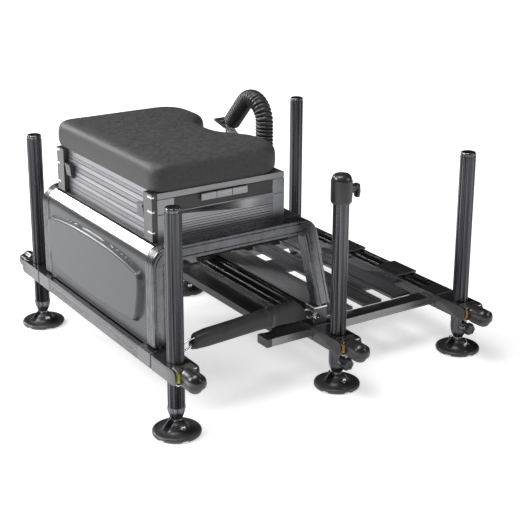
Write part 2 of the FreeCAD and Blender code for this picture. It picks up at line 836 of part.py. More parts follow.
pillar = block(
    "pillar",
    ("middle_x - pillar_rear", "middle_x + pillar_front"),
    ("-frame_y", "-inner_y"),
    ("front_clamp_z + clamp_tall", "lean_foot - spacer_tall"),
)
node("front_pillars", group("front_pillars_pair", [pillar, mirrored("pillar_other", pillar)]))
bar_middle = "-frame_y + bar_wide / 2"
rear_spacer = rod(
    "rear_spacer", "spacer_r", "z", ("rear_clamp_z + clamp_tall", "post_foot"), ("post_x", bar_middle)
)
front_spacer = rod(
    "front_spacer", "spacer_r", "z", ("lean_foot - spacer_tall", "lean_foot"), ("spacer_x", bar_middle)
)
node("frame_bolts", group("frame_bolts_four", [
    rear_spacer,
    front_spacer,
    mirrored("rear_spacer_other", rear_spacer),
    mirrored("front_spacer_other", front_spacer),
]))

# Rear top rail: a ribbed quarter-round extrusion over the panel

rail_first = 118
rail_last = 147
rail_outline = []
rail_teeth = 15
for step in range(2 * rail_teeth + 1):
    angle = rail_first + (rail_last - rail_first) * step / (2 * rail_teeth)
    near_end = step < 4 or step > 2 * rail_teeth - 4
    depth = 0 if near_end or step % 2 else 0.8
    rail_outline.append((
        f"bend_x + (rail_out - {depth}) * cos({angle:.3f})",
        f"bend_z + (rail_out - {depth}) * sin({angle:.3f})",
    ))
for step in range(7):
    angle = rail_last - (rail_last - rail_first) * step / 6
    rail_outline.append((
        f"bend_x + (rail_out - rail_thick) * cos({angle:.3f})",
        f"bend_z + (rail_out - rail_thick) * sin({angle:.3f})",
    ))
node("rear_top_rail", prism("rear_rail", "XZ_Plane", rail_outline, "-inner_y", "inner_y"))

# Rear panel: a moulded sheet that follows the bend, with a raised field left bare

panel_out = "(panel_face + post_x + rear_bend - rear_x)"
panel_outline = [(f"bend_x - {panel_out}", "panel_bottom"), (f"bend_x - {panel_out}", "bend_z")]
for angle in (172, 164, 156, 149):
    panel_outline.append((f"bend_x + {panel_out} * cos({angle})", f"bend_z + {panel_out} * sin({angle})"))
for angle in (149, 156, 164, 172):
    panel_outline.append((
        f"bend_x + ({panel_out} - panel_thick) * cos({angle})",
        f"bend_z + ({panel_out} - panel_thick) * sin({angle})",
    ))
panel_outline += [
    (f"bend_x - {panel_out} + panel_thick", "bend_z"),
    (f"bend_x - {panel_out} + panel_thick", "panel_bottom"),
]
panel_sheet = prism("panel_sheet", "XZ_Plane", panel_outline, "-inner_y", "inner_y")
field_side = (
    (0.153, 0.00), (0.170, 0.45), (0.244, 0.90), (0.455, 0.97), (0.653, 1.00),
    (0.830, 1.00), (0.886, 0.95), (0.938, 0.70), (0.977, 0.35), (0.994, 0.00),
)
field_corners = []
for side, rows in ((1, field_side), (-1, field_side[-2:0:-1])):
    for rise, share in rows:
        field_corners.append((
            f"field_half * {side * share}", f"panel_bottom + (bend_z - panel_bottom) * {rise}"
        ))
field_low = f"bend_x - {panel_out}"
field = prism("panel_field", "YZ_Plane", field_corners, f"{field_low} - field_proud", f"{field_low} + 1")
doc.recompute()
bevel = size("field_proud") * 0.6
front_edges = []
for index, edge in enumerate(field.Shape.Edges, start=1):
    if edge.BoundBox.XMax < field.Shape.BoundBox.XMin + 0.01:
        front_edges.append((index, bevel, bevel))
soft_field = doc.addObject("Part::Chamfer", "soft_field")
soft_field.Base = field
soft_field.Edges = front_edges
node("rear_panel", joined("rear_panel_whole", [panel_sheet, soft_field]))

# Platform plate, front crossbar with the handle's lugs, and the low shelf

node("platform_plate", block(
    "platform",
    ("plate_start", "plate_end"),
    ("-inner_y", "inner_y"),
    ("plate_top - plate_thick", "plate_top"),
))
bar_top = "plate_top - plate_thick"
lugs = [block(
    "crossbar_bar",
    ("plate_end - crossbar", "plate_end"),
    ("-inner_y", "inner_y"),
    (f"{bar_top} - crossbar_tall", bar_top),
)]
for tag, y in (("right", "hose_y - hose_bend"), ("left", "web_left")):
    lugs.append(block(
        f"{tag}_lug",
        ("plate_end - 1", "hose_x + web_wide / 2 + 2"),
        (f"{y} + web_thick / 2", f"{y} + web_thick / 2 + lug_thick"),
        ("lug_z - lug_below", "lug_z + lug_above"),
    ))
node("front_crossbar", joined("crossbar_whole", lugs))

shelf_y = ("-beam_y", "beam_y")
node("shelf_plate", joined("shelf", [
    block(
        "shelf_sheet",
        ("shelf_start", "middle_x - clamp_half"),
        shelf_y,
        ("shelf_low", "shelf_low + shelf_thick"),
    ),
    block("shelf_lip", ("shelf_start", "shelf_start + lip_wide"), shelf_y, ("shelf_low", "deck_top")),
]))

# Lower tray with its corner columns

def grooves(name, x, y, levels, skin):
    """Level grooves right round a tray's outside."""
    rings = []
    for number, level in enumerate(levels):
        z = (f"{level} - tray_groove / 2", f"{level} + tray_groove / 2")
        rims = []
        for tag, grow in (("out", "2"), ("in", f"(-{skin})")):
            rims.append(block(
                f"{name}_{number}_{tag}",
                (f"{x[0]} - {grow}", f"{x[1]} + {grow}"), (f"{y[0]} - {grow}", f"{y[1]} + {grow}"), z,
            ))
        rings.append(carved(f"{name}_{number}", rims[0], [rims[1]]))
    return rings


tray_x = ("tray_rear", "tray_front")
tray_span = ("-tray_y", "tray_y")
lower_block = block("lower_block", tray_x, tray_span, ("plate_top", "tray_split"))
lower_hollow = block(
    "lower_hollow",
    ("tray_rear + tray_wall", "tray_front - tray_wall"),
    ("-tray_y + tray_wall", "tray_y - tray_wall"),
    ("plate_top + tray_wall", "tray_split + 1"),
)
lower_grooves = grooves(
    "lower_groove", tray_x, tray_span, [f"plate_top + {rise}" for rise in (3, 16, 21, 29)], "1"
)
lower_shell = carved("lower_shell", lower_block, [lower_hollow] + lower_grooves)
column_top = "lid_top - clearance"
column_y = ("-tray_y", "-tray_y + column_wide")
column = joined("column", [
    block("column_low", ("column_rear", "tray_rear"), column_y, ("frame_top", "tray_split")),
    block("column_high", ("column_rear", "tray_rear - 0.3"), column_y, ("tray_split - 1", column_top)),
])


def latch_ears(name, y):
    """Two ears and a pin that carry one latch."""
    half = "(latch_wide / 2 + clearance)"
    pin_y = (f"{y} - {half} - 2", f"{y} + {half} + 2")
    pieces = [rod(f"{name}_pin", "latch_pin_r", "y", pin_y, ("latch_pin_x", "latch_pin_z"))]
    for tag, low, high in (
        ("near", f"{y} - {half} - 2.5", f"{y} - {half}"),
        ("far", f"{y} + {half}", f"{y} + {half} + 2.5"),
    ):
        pieces.append(block(
            f"{name}_{tag}_ear", ("latch_pin_x - 3", "tray_rear + 1"), (low, high),
            ("latch_pin_z - 4", "latch_pin_z + 4"),
        ))
    return pieces


lower_tray_solid = joined(
    "lower_tray_solid",
    [lower_shell] + latch_ears("near_latch", "-latch_y") + latch_ears("far_latch", "latch_y"),
)
node("lower_tray", group("lower_tray_set", [lower_tray_solid, column, mirrored("column_other", column)]))

# Lever latches

def latch(name, y):
    """A lever that reaches up over the joint between the trays."""
    lever_y = (f"{y} - latch_wide / 2", f"{y} + latch_wide / 2")
    pivot = ("latch_pin_x", "latch_pin_z")
    lever = prism(f"{name}_lever", "XZ_Plane", [
        ("latch_pin_x - 4", "latch_pin_z"),
        ("latch_pin_x + 4", "latch_pin_z"),
        ("tray_rear - 0.4", "latch_pin_z + 6"),
        ("tray_rear - 0.4", "latch_top - 3"),
        ("latch_pin_x - 2", "latch_top"),
        ("latch_pin_x - 8", "latch_top - 1"),
        ("latch_pin_x - 6", "latch_top - 8"),
    ], lever_y[0], lever_y[1])
    knuckle = rod(f"{name}_knuckle", "knuckle_r", "y", lever_y, pivot)
    bore = rod(
        f"{name}_bore", "latch_pin_r + latch_gap", "y", (f"{y} - latch_wide", f"{y} + latch_wide"), pivot
    )
    return carved(name, joined(f"{name}_body", [lever, knuckle]), [bore])


node("latch_near", latch("near_lever", "-latch_y"))
node("latch_far", latch("far_lever", "latch_y"))

# Upper tray with a tunnel for the drawer and a pocket at each end

inset_x = ("tray_rear + 0.3", "tray_front - 0.3")
upper_block = block("upper_block", inset_x, tray_span, ("upper_low", "upper_top"))
drawer_tunnel = block(
    "drawer_tunnel",
    ("drawer_rear", "drawer_front"),
    ("-tray_y - 1", "tray_y - tray_wall"),
    ("upper_low + 2.5", "upper_top + 1"),
)
rear_pocket = block(
    "rear_pocket", ("tray_rear + tray_wall", "drawer_rear - tray_wall"),
    ("-tray_y + tray_wall", "tray_y - tray_wall"), ("upper_low + 2.5", "upper_top + 1"),
)
front_pocket = block(
    "front_pocket", ("drawer_front + tray_wall", "tray_front - tray_wall"),
    ("-tray_y + tray_wall", "tray_y - tray_wall"), ("upper_low + 2.5", "upper_top + 1"),
)
upper_grooves = grooves("upper_groove", tray_x, tray_span, ["upper_low + 12.5", "upper_low + 25"], "1")
upper_cuts = [drawer_tunnel, rear_pocket, front_pocket] + upper_grooves
node("upper_tray", carved("upper_shell", upper_block, upper_cuts))

# Drawer and its pull

drawer_x = ("drawer_rear + clearance", "drawer_front - clearance")
drawer_low = "upper_low + 3"
drawer_front_panel = block(
    "drawer_front_panel", drawer_x, ("-tray_y", "-tray_y + tray_wall"), (drawer_low, "upper_top - clearance")
)
drawer_box = block(
    "drawer_box", drawer_x, ("-tray_y + 1", "-tray_y + drawer_long"), (drawer_low, "upper_top - 3")
)
drawer_hollow = block(
    "drawer_hollow",
    ("drawer_rear + clearance + drawer_wall", "drawer_front - clearance - drawer_wall"),
    ("-tray_y + tray_wall", "-tray_y + drawer_long - drawer_wall"),
    (f"{drawer_low} + drawer_wall", "upper_top + 1"),
)
drawer_body = joined("drawer_body", [drawer_box, drawer_front_panel])
node("drawer", carved("drawer_shell", drawer_body, [drawer_hollow]))
node("drawer_pull", prism("pull", "XZ_Plane", [
    ("pull_rear", "upper_top - pull_tall"),
    ("pull_front", "upper_top - pull_tall"),
    ("pull_front - pull_slope", "upper_top - clearance"),
    ("pull_rear + pull_slope", "upper_top - clearance"),
], "-tray_y - pull_proud", "-tray_y"))

# Lid board

node("lid_board", block(
    "lid", ("tray_rear + 0.8", "tray_front"), tray_span, ("lid_low", "lid_top")
))

# Cushion: a padded block with a crown, drawn-in sides and a notch for the handle

def cushion_outline(inset, height):
    """The cushion's outline at one height, drawn in by an inset."""
    low_x = size("cushion_start")
    high_x = low_x + size("cushion_long")
    half = size("cushion_half")
    corner = size("cushion_corner")
    reach = corner - inset
    points = []

    def arc(centre_x, centre_y, first):
        for step in range(7):
            angle = math.radians(first + 90 * step / 6)
            points.append((centre_x + reach * math.cos(angle), centre_y + reach * math.sin(angle)))

    def straight(start, end, count):
        for step in range(1, count):
            share = step / count
            points.append((start[0] + (end[0] - start[0]) * share, start[1] + (end[1] - start[1]) * share))

    arc(low_x + corner, -half + corner, 180)
    straight((low_x + corner, -half + inset), (high_x - corner, -half + inset), 6)
    arc(high_x - corner, -half + corner, 270)
    for step in range(1, 24):
        y = (half - corner) * (step / 12 - 1)
        offset = abs(y - size("notch_y")) / (size("notch_half") + inset * 0.6)
        points.append((high_x - inset - size("notch_depth") * math.exp(-offset ** 4 * 0.9), y))
    arc(high_x - corner, half - corner, 0)
    straight((high_x - corner, half - inset), (low_x + corner, half - inset), 6)
    arc(low_x + corner, half - corner, 90)
    straight((low_x + inset, half - corner), (low_x + inset, -half + corner), 8)
    ring = [Vector(x, y, height) for x, y in points]
    curve = Part.BSplineCurve()
    curve.interpolate(ring, PeriodicFlag=True)
    return Part.Wire(curve.toShape())


def cushion_shape():
    """Ruled skins through the outlines, closed at the crown."""
    base = size("lid_top")
    tall = size("cushion_tall")
    rings = []
    for share, inset in (
        (0.0, 9), (0.04, 4), (0.12, 1), (0.30, 0), (0.60, 0.5), (0.74, 2.5),
        (0.84, 7), (0.91, 14), (0.955, 24), (0.985, 40), (1.0, 60),
    ):
        rings.append(cushion_outline(inset, base + tall * share))
    return Part.makeLoft(rings, True, True)


node("cushion", solid_from("cushion_form", cushion_shape()))

# Carrying handle: a ribbed hose over a strap that is fixed at both ends

def handle_frame(distance):
    """The point, heading and outward side of the handle's centreline at a distance along it."""
    bend = size("hose_bend")
    rise = size("hose_arc_z") - size("hose_foot_z")
    turn = math.radians(size("hose_turn"))
    x = size("hose_x")
    centre = Vector(x, size("hose_y"), size("hose_arc_z"))
    if distance <= rise:
        point = Vector(x, centre.y - bend, size("hose_foot_z") + distance)
        heading = Vector(0, 0, 1)
    elif distance <= rise + bend * turn:
        angle = math.pi - (distance - rise) / bend
        point = centre + Vector(0, bend * math.cos(angle), bend * math.sin(angle))
        heading = Vector(0, math.sin(angle), -math.cos(angle))
    else:
        angle = math.pi - turn
        heading = Vector(0, math.sin(angle), -math.cos(angle))
        point = centre + Vector(0, bend * math.cos(angle), bend * math.sin(angle))
        point = point + heading * (distance - rise - bend * turn)
    return point, heading


def handle_length():
    """The hose's length along its centreline."""
    rise = size("hose_arc_z") - size("hose_foot_z")
    return rise + size("hose_bend") * math.radians(size("hose_turn")) + size("hose_tail")


def hose_ring(distance, radius):
    """A circle round the centreline that keeps its start on the X axis."""
    point, heading = handle_frame(distance)
    circle = Part.Circle(point, heading, radius)
    circle.XAxis = Vector(1, 0, 0)
    return Part.Wire(circle.toShape())


def hose_shape():
    """Rounded ribs along the hose, with a bore for the strap."""
    ribs = int(handle_length() / size("hose_pitch"))
    pitch = handle_length() / ribs
    peak = size("hose_peak")
    valley = size("hose_valley")
    rings = []
    bore = []
    for rib in range(ribs):
        start = rib * pitch
        for share, radius in ((0.0, valley), (0.22, peak - 0.4), (0.5, peak), (0.78, peak - 0.4)):
            rings.append(hose_ring(start + share * pitch, radius))
        bore.append(hose_ring(start, size("hose_bore")))
    rings.append(hose_ring(handle_length(), valley))
    bore.append(hose_ring(handle_length(), size("hose_bore")))
    skin = Part.makeLoft(rings, True, True)
    return skin.cut(Part.makeLoft(bore, True, True))


node("handle_hose", solid_from("hose_form", hose_shape()))


def band(stations, wide, thick):
    """A flat band along points in the handle's plane, its width along X."""
    x = size("hose_x")
    sections = []
    for y, z, turn in stations:
        side = Vector(0, math.cos(turn), math.sin(turn)) * (thick / 2)
        corners = []
        for across, offset in ((-1, -1), (1, -1), (1, 1), (-1, 1)):
            corners.append(Vector(x + across * wide / 2, y, z) + side * offset)
        sections.append(Part.makePolygon(corners + [corners[0]]))
    return Part.makeLoft(sections, True, True)


def webbing_shape():
    """The strap: up from the right lug, through the hose and down to the left lug."""
    stations = []
    start, heading = handle_frame(0)
    stations.append((start.y, size("lug_z") - 4, 0.0))
    stations.append((start.y, start.z, 0.0))
    length = handle_length()
    steps = 28
    for step in range(1, steps + 1):
        point, heading = handle_frame(length * step / steps)
        stations.append((point.y, point.z, math.atan2(-heading.y, heading.z)))
    end, heading = handle_frame(length)
    left = size("web_left")
    down = -math.pi
    first = stations[-1][2]
    for share, ahead, drop in ((0.3, 7, 10), (0.6, 9, 22), (0.85, 6, 36)):
        stations.append((end.y + ahead, end.z - drop, first + (down - first) * share))
    stations.append((left, end.z - 60, down))
    stations.append((left, size("lug_z") - 4, down))
    return band(stations, size("web_wide"), size("web_thick"))


node("handle_webbing", solid_from("webbing_form", webbing_shape()))
end_point, end_heading = handle_frame(handle_length())


def buckle_shape():
    """A ladder buckle: a plate with two slots, tilted down to the left."""
    wide = size("web_wide") + 10
    thick = size("buckle_thick")
    long = size("buckle_long")
    slot_wide = size("web_wide") + 2
    bars = Part.makeBox(wide, long, thick, Vector(-wide / 2, 0, -thick / 2))
    for share in (0.17, 0.59):
        corner = Vector(-slot_wide / 2, long * share, -thick)
        bars = bars.cut(Part.makeBox(slot_wide, size("buckle_slot"), 2 * thick, corner))
    bars.rotate(Vector(), Vector(1, 0, 0), -8)
    start = Vector(size("hose_x"), end_point.y + size("buckle_ahead"), end_point.z - size("buckle_drop"))
    bars.translate(start)
    return bars


node("handle_buckle", solid_from("buckle_form", buckle_shape()))

# Padded shoulder strap along the near side, on two shackles

def strap_section(x, low, high, half):
    """A rounded upright section of the strap."""
    middle = (low + high) / 2
    rise = (high - low) / 2
    ring = []
    for step in range(16):
        angle = 2 * math.pi * step / 16
        across = math.copysign(abs(math.cos(angle)) ** 0.55, math.cos(angle))
        up = math.copysign(abs(math.sin(angle)) ** 0.55, math.sin(angle))
        ring.append(Vector(x, -size("strap_y") + half * across, middle + rise * up))
    curve = Part.BSplineCurve()
    curve.interpolate(ring, PeriodicFlag=True)
    return Part.Wire(curve.toShape())


def strap_shape():
    """Sections from the rear shackle to the front one."""
    first = size("strap_rear")
    long = size("strap_front") - first
    low = size("strap_low")
    half = size("strap_half")
    sections = []
    for share, lift, tall, fill in (
        (0.0, -2, 8, 0.55), (0.04, -1, 22, 0.85), (0.12, 0, 31, 1.0), (0.35, 4, 36, 1.0),
        (0.55, 6, 39, 1.0), (0.75, 4, 44, 1.0), (0.90, 1, 50, 1.0), (0.965, 0, 34, 0.85), (1.0, -1, 9, 0.55),
    ):
        sections.append(strap_section(first + long * share, low + lift, low + lift + tall, half * fill))
    return Part.makeLoft(sections, True, True)


node("shoulder_strap", solid_from("strap_form", strap_shape()))

shackle_z = "strap_low + 2"
shackle_at = ("-strap_y", shackle_z)
eye_r = "shackle_r + 3.5"
pin_at = ("middle_x - 12", shackle_z)
rear_shackle = joined("rear_shackle", [
    rod("rear_shackle_bar", "shackle_r", "x", ("rear_x + clamp_half", "strap_rear"), shackle_at),
    rod("rear_shackle_eye", eye_r, "x", ("strap_rear - 12", "strap_rear - 4"), shackle_at),
])
front_shackle = joined("front_shackle", [
    rod("front_shackle_bar", "shackle_r", "x", ("strap_front", "middle_x - 10"), shackle_at),
    rod("front_shackle_eye", eye_r, "x", ("strap_front + 4", "strap_front + 12"), shackle_at),
    rod("front_shackle_pin", "shackle_r", "y", ("-strap_y - 6", "-frame_y"), pin_at),
])
node("strap_shackles", group("strap_shackles_pair", [rear_shackle, front_shackle]))

# Footplate: slide rails, slats, cross plates and tread plates

slide_rail = block(
    "slide_rail",
    ("rail_start", "front_x - clamp_half"),
    ("-leg_y + rail_near", "-leg_y + rail_near + rail_wide"),
    ("rail_low", "rail_low + rail_tall"),
)
node("slide_rails", group("slide_rails_pair", [slide_rail, mirrored("slide_rail_other", slide_rail)]))

slat_y = ("-beam_y + slat_end_gap", "beam_y - slat_end_gap")
slat_z = ("deck_top - slat_thick", "deck_top")
rear_slat_x = "front_x - rear_slat_reach"


def slat(name, low, wide, ribs):
    """A deck slat with fine grooves on top."""
    plank = block(f"{name}_plank", (low, f"{low} + {wide}"), slat_y, slat_z)
    tools = []
    for number in range(ribs):
        x = f"{low} + 5 + {number} * rib_pitch"
        tools.append(block(
            f"{name}_groove_{number}",
            (x, f"{x} + slat_groove"), ("-leg_y", "leg_y"), ("deck_top - 1", "deck_top + 1"),
        ))
    return carved(name, plank, tools)


node("deck_slat_rear", slat("rear_slat", rear_slat_x, "rear_slat_wide", 19))
first_slat = slat("first_slat", f"{rear_slat_x} + slat_start", "slat_wide", 12)
second_slat = slat("second_slat", f"{rear_slat_x} + slat_start + slat_pitch", "slat_wide", 12)
node("deck_slats", group("deck_slats_pair", [first_slat, second_slat]))

cross_plate = block(
    "cross_plate",
    (f"{rear_slat_x} + 4", "front_x - clamp_half"),
    ("-cross_y - cross_half", "-cross_y + cross_half"),
    ("deck_top - slat_thick - cross_thick", "deck_top - slat_thick"),
)
node("cross_plates", group("cross_plates_pair", [cross_plate, mirrored("cross_plate_other", cross_plate)]))
tread_plate = block(
    "tread_plate",
    ("front_x - clamp_half - 5", "front_x + clamp_half + 3"),
    ("-cross_y - cross_half", "-cross_y + cross_half"),
    ("deck_top", "deck_top + tread_thick"),
)
node("tread_plates", group("tread_plates_pair", [tread_plate, mirrored("tread_plate_other", tread_plate)]))

# Accessory collar on the near middle leg, with its wing screw

ring = carved("ring_solid", joined("ring_body", [
    rod("ring_sleeve", "ring_r", "z", ("ring_low", "ring_top"), ("0", "0")),
    cone("ring_cap", "ring_r", "leg_r - 1", "z", ("ring_top", "leg_top + 4"), ("0", "0")),
    rod("ring_boss", "boss_r", "x", ("0", "wing_start"), ("0", "boss_z")),
]), [
    rod("ring_bore", "leg_r + leg_gap", "z", ("ring_low - 1", "leg_top"), ("0", "0")),
    rod("ring_screw_hole", "screw_r", "x", ("leg_r - 1", "wing_start + 1"), ("0", "boss_z")),
])
node("accessory_collar", at_corner("accessory_collar_at", [ring], "middle_x", "near"))
wing_lever = prism("wing_lever", "YZ_Plane", [
    ("-7", "boss_z + 8"),
    ("7", "boss_z + 8"),
    ("9", "boss_z - 8"),
    ("6", "boss_z - 22"),
    ("-6", "boss_z - 22"),
    ("-9", "boss_z - 8"),
], "wing_end - 6", "wing_end")
wing = joined("wing", [
    wing_lever,
    rod("wing_hub", "7", "x", ("wing_start + clearance", "wing_end"), ("0", "boss_z")),
    rod("wing_shank", "screw_r - screw_gap", "x", ("leg_r + clearance", "wing_start + 2"), ("0", "boss_z")),
])
node("wing_screw", at_corner("wing_screw_at", [wing], "middle_x", "near"))

# Check every object, then write one file for each piece

doc.recompute()
faults = []
for item in doc.Objects:
    if "Invalid" in item.State or "Error" in item.State:
        faults.append(f"{item.Name}: {item.State}")
for name, piece in nodes.items():
    if piece.Shape.isNull() or not piece.Shape.isValid():
        faults.append(f"{name}: bad shape")
if faults:
    raise RuntimeError("; ".join(faults))
for name, piece in nodes.items():
    piece.Shape.exportStep(f"parts/{name}.step")
    bounds = piece.Shape.BoundBox
    print(
        f"{name}: {len(piece.Shape.Solids)} solids, "
        f"x {bounds.XMin:.1f} {bounds.XMax:.1f}, y {bounds.YMin:.1f} {bounds.YMax:.1f}, "
        f"z {bounds.ZMin:.1f} {bounds.ZMax:.1f}"
    )
print(f"{len(nodes)} nodes written")
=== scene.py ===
import math

import bpy
from mathutils import Matrix, Vector
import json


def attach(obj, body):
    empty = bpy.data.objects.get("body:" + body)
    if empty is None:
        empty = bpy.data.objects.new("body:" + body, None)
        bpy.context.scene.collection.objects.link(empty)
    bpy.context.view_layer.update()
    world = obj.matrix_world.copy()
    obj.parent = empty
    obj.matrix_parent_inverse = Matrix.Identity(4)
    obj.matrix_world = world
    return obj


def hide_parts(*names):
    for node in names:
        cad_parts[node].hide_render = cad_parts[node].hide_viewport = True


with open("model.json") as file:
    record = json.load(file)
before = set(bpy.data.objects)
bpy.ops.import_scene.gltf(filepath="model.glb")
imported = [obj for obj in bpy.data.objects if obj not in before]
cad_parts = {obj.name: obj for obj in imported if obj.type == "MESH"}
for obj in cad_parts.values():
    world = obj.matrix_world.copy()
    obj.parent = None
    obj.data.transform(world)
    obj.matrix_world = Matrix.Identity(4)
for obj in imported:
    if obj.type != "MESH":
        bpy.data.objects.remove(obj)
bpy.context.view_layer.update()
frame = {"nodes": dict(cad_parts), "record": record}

MM = 0.001

# Camera, behind the sitter's right shoulder and a little above the seat, with a
# slight shift so that the legs stand nearly upright in the picture.
camera_data = bpy.data.cameras.new("camera")
camera_data.sensor_width = 36
camera_data.lens = 82.7
camera_data.shift_x = 0.03
camera_data.shift_y = -0.12
camera = bpy.data.objects.new("camera", camera_data)
bpy.context.scene.collection.objects.link(camera)
camera.location = (-1.4487, -2.2652, 1.1849)
camera.rotation_euler = (math.radians(90 - 17.215), 0, math.radians(-32.563))
bpy.context.scene.camera = camera

# Studio: a brightly lit white table, a white backdrop, and a dim room above that
# keeps the level black surfaces dark while the upright ones reflect the table.
bpy.context.scene.view_settings.view_transform = "Standard"
room_low = 0.16
room_high = 0.6
room_start = 0.15
room_end = 0.9
backdrop = 1.04
world = bpy.data.worlds.new("studio")
world.use_nodes = True
world_nodes, world_links = world.node_tree.nodes, world.node_tree.links
room = world_nodes["Background"]
paper = (1, 1, 1, 1)
white = world_nodes.new("ShaderNodeBackground")
white.inputs["Color"].default_value = paper
white.inputs["Strength"].default_value = backdrop
direction = world_nodes.new("ShaderNodeTexCoord")
split = world_nodes.new("ShaderNodeSeparateXYZ")
rise = world_nodes.new("ShaderNodeMapRange")
rise.inputs["From Min"].default_value = room_start
rise.inputs["From Max"].default_value = room_end
rise.inputs["To Min"].default_value = room_low
rise.inputs["To Max"].default_value = room_high
world_links.new(direction.outputs["Generated"], split.inputs["Vector"])
world_links.new(split.outputs["Z"], rise.inputs["Value"])
world_links.new(rise.outputs["Result"], room.inputs["Strength"])
path = world_nodes.new("ShaderNodeLightPath")
choice = world_nodes.new("ShaderNodeMixShader")
world_links.new(path.outputs["Is Camera Ray"], choice.inputs["Fac"])
world_links.new(room.outputs["Background"], choice.inputs[1])
world_links.new(white.outputs["Background"], choice.inputs[2])
world_links.new(choice.outputs["Shader"], world_nodes["World Output"].inputs["Surface"])
bpy.context.scene.world = world

bpy.ops.object.select_all(action="DESELECT")
table_size = 60
table_drop = 0.0005
bpy.ops.mesh.primitive_plane_add(size=table_size, location=(0, 0, -table_drop))
floor = bpy.context.object
floor.name = "floor"
table_top = bpy.data.materials.new("table_top")
table_top.use_nodes = True
table_shader = table_top.node_tree.nodes["Principled BSDF"]
table_shader.inputs["Base Color"].default_value = (0.8, 0.8, 0.8, 1)
table_shader.inputs["Roughness"].default_value = 0.9
table_shader.inputs["Specular IOR Level"].default_value = 0.1
table_shader.inputs["Emission Color"].default_value = paper
# The table glows by itself as painted light. The glow is weaker near the seat so that shade shows there,
# stronger further off, and weaker still in reflections.
near_glow = 0.56
far_glow = 1.05
mirrored_glow = 0.42
table_nodes, table_links = table_top.node_tree.nodes, table_top.node_tree.links
spot = table_nodes.new("ShaderNodeTexCoord")
reach = table_nodes.new("ShaderNodeVectorMath")
reach.operation = "LENGTH"
glow = table_nodes.new("ShaderNodeMapRange")
glow_start = 0.8
glow_end = 2.0
glow.inputs["From Min"].default_value = glow_start
glow.inputs["From Max"].default_value = glow_end
glow.inputs["To Min"].default_value = near_glow
glow.inputs["To Max"].default_value = far_glow
seen = table_nodes.new("ShaderNodeLightPath")
pick = table_nodes.new("ShaderNodeMix")
pick.inputs["A"].default_value = mirrored_glow
table_links.new(spot.outputs["Object"], reach.inputs[0])
table_links.new(reach.outputs["Value"], glow.inputs["Value"])
table_links.new(seen.outputs["Is Camera Ray"], pick.inputs["Factor"])
table_links.new(glow.outputs["Result"], pick.inputs["B"])
table_links.new(pick.outputs["Result"], table_shader.inputs["Emission Strength"])
floor.data.materials.append(table_top)


def soft_light(name, place, target, size, power):
    """A square softbox that faces a point."""
    lamp_data = bpy.data.lights.new(name, "AREA")
    lamp_data.shape = "SQUARE"
    lamp_data.size = size
    lamp_data.energy = power
    lamp = bpy.data.objects.new(name, lamp_data)
    lamp.location = place
    lamp.rotation_euler = (Vector(target) - Vector(place)).to_track_quat("-Z", "Y").to_euler()
    bpy.context.scene.collection.objects.link(lamp)


soft_light("top_light", (-0.7, -0.3, 2.6), (-0.1, 0, 0.3), 1.5, 48)
soft_light("left_light", (-2.6, 0.9, 2.0), (-0.2, 0, 0.3), 1.4, 75)
soft_light("right_light", (2.2, -2.6, 1.6), (0, 0, 0.3), 1.2, 20)
soft_light("back_light", (-1.3, 2.6, 1.6), (-0.3, 0, 0.3), 0.9, 45)


# Cross beams and clamp castings: black anodised box extrusions let into cast
# sleeves, one round each leg. Each piece is a clean copy of its node with its
# edges broken, so that they catch the light.
beam_edge = 0.5
casting_edge = 0.9
smooth_turn = 38
merge_gap = 0.00001

carrier = {}
for body_name, body_nodes in frame["record"]["behaviour"]["bodies"].items():
    for body_node in body_nodes:
        carrier[body_node] = body_name


def only(piece):
    """Selects one object and makes it the active one."""
    bpy.ops.object.select_all(action="DESELECT")
    piece.select_set(True)
    bpy.context.view_layer.objects.active = piece


def soften(piece, width, segments=2, angle=30):
    """Breaks the piece's sharp edges by a width in millimetres and smooths it by angle."""
    only(piece)
    if width:
        bevel = piece.modifiers.new("edges", "BEVEL")
        bevel.width = width * MM
        bevel.segments = segments
        bevel.limit_method = "ANGLE"
        bevel.angle_limit = math.radians(angle)
        bpy.ops.object.modifier_apply(modifier=bevel.name)
    bpy.ops.object.shade_smooth_by_angle(angle=math.radians(angle + 8))
    flat = piece.modifiers.new("flat_faces", "WEIGHTED_NORMAL")
    flat.keep_sharp = True
    bpy.ops.object.modifier_apply(modifier=flat.name)


def rides(piece, node):
    """The piece goes with its node's body."""
    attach(piece, carrier[node])
    return piece


def stands_for(piece, node):
    """The piece is shown in place of its node."""
    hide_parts(node)
    return rides(piece, node)


def finished(node, width, segments=2, level=True):
    """A merged copy of a frame node with broken edges, shown in its place."""
    piece = bpy.data.objects.new(node + "_finish", frame["nodes"][node].data.copy())
    bpy.context.scene.collection.objects.link(piece)
    only(piece)
    bpy.ops.object.mode_set(mode="EDIT")
    bpy.ops.mesh.select_all(action="SELECT")
    bpy.ops.mesh.remove_doubles(threshold=merge_gap)
    if level:
        bpy.ops.mesh.dissolve_limited(angle_limit=math.radians(1.5))
    bpy.ops.object.mode_set(mode="OBJECT")
    soften(piece, width, segments)
    return stands_for(piece, node)


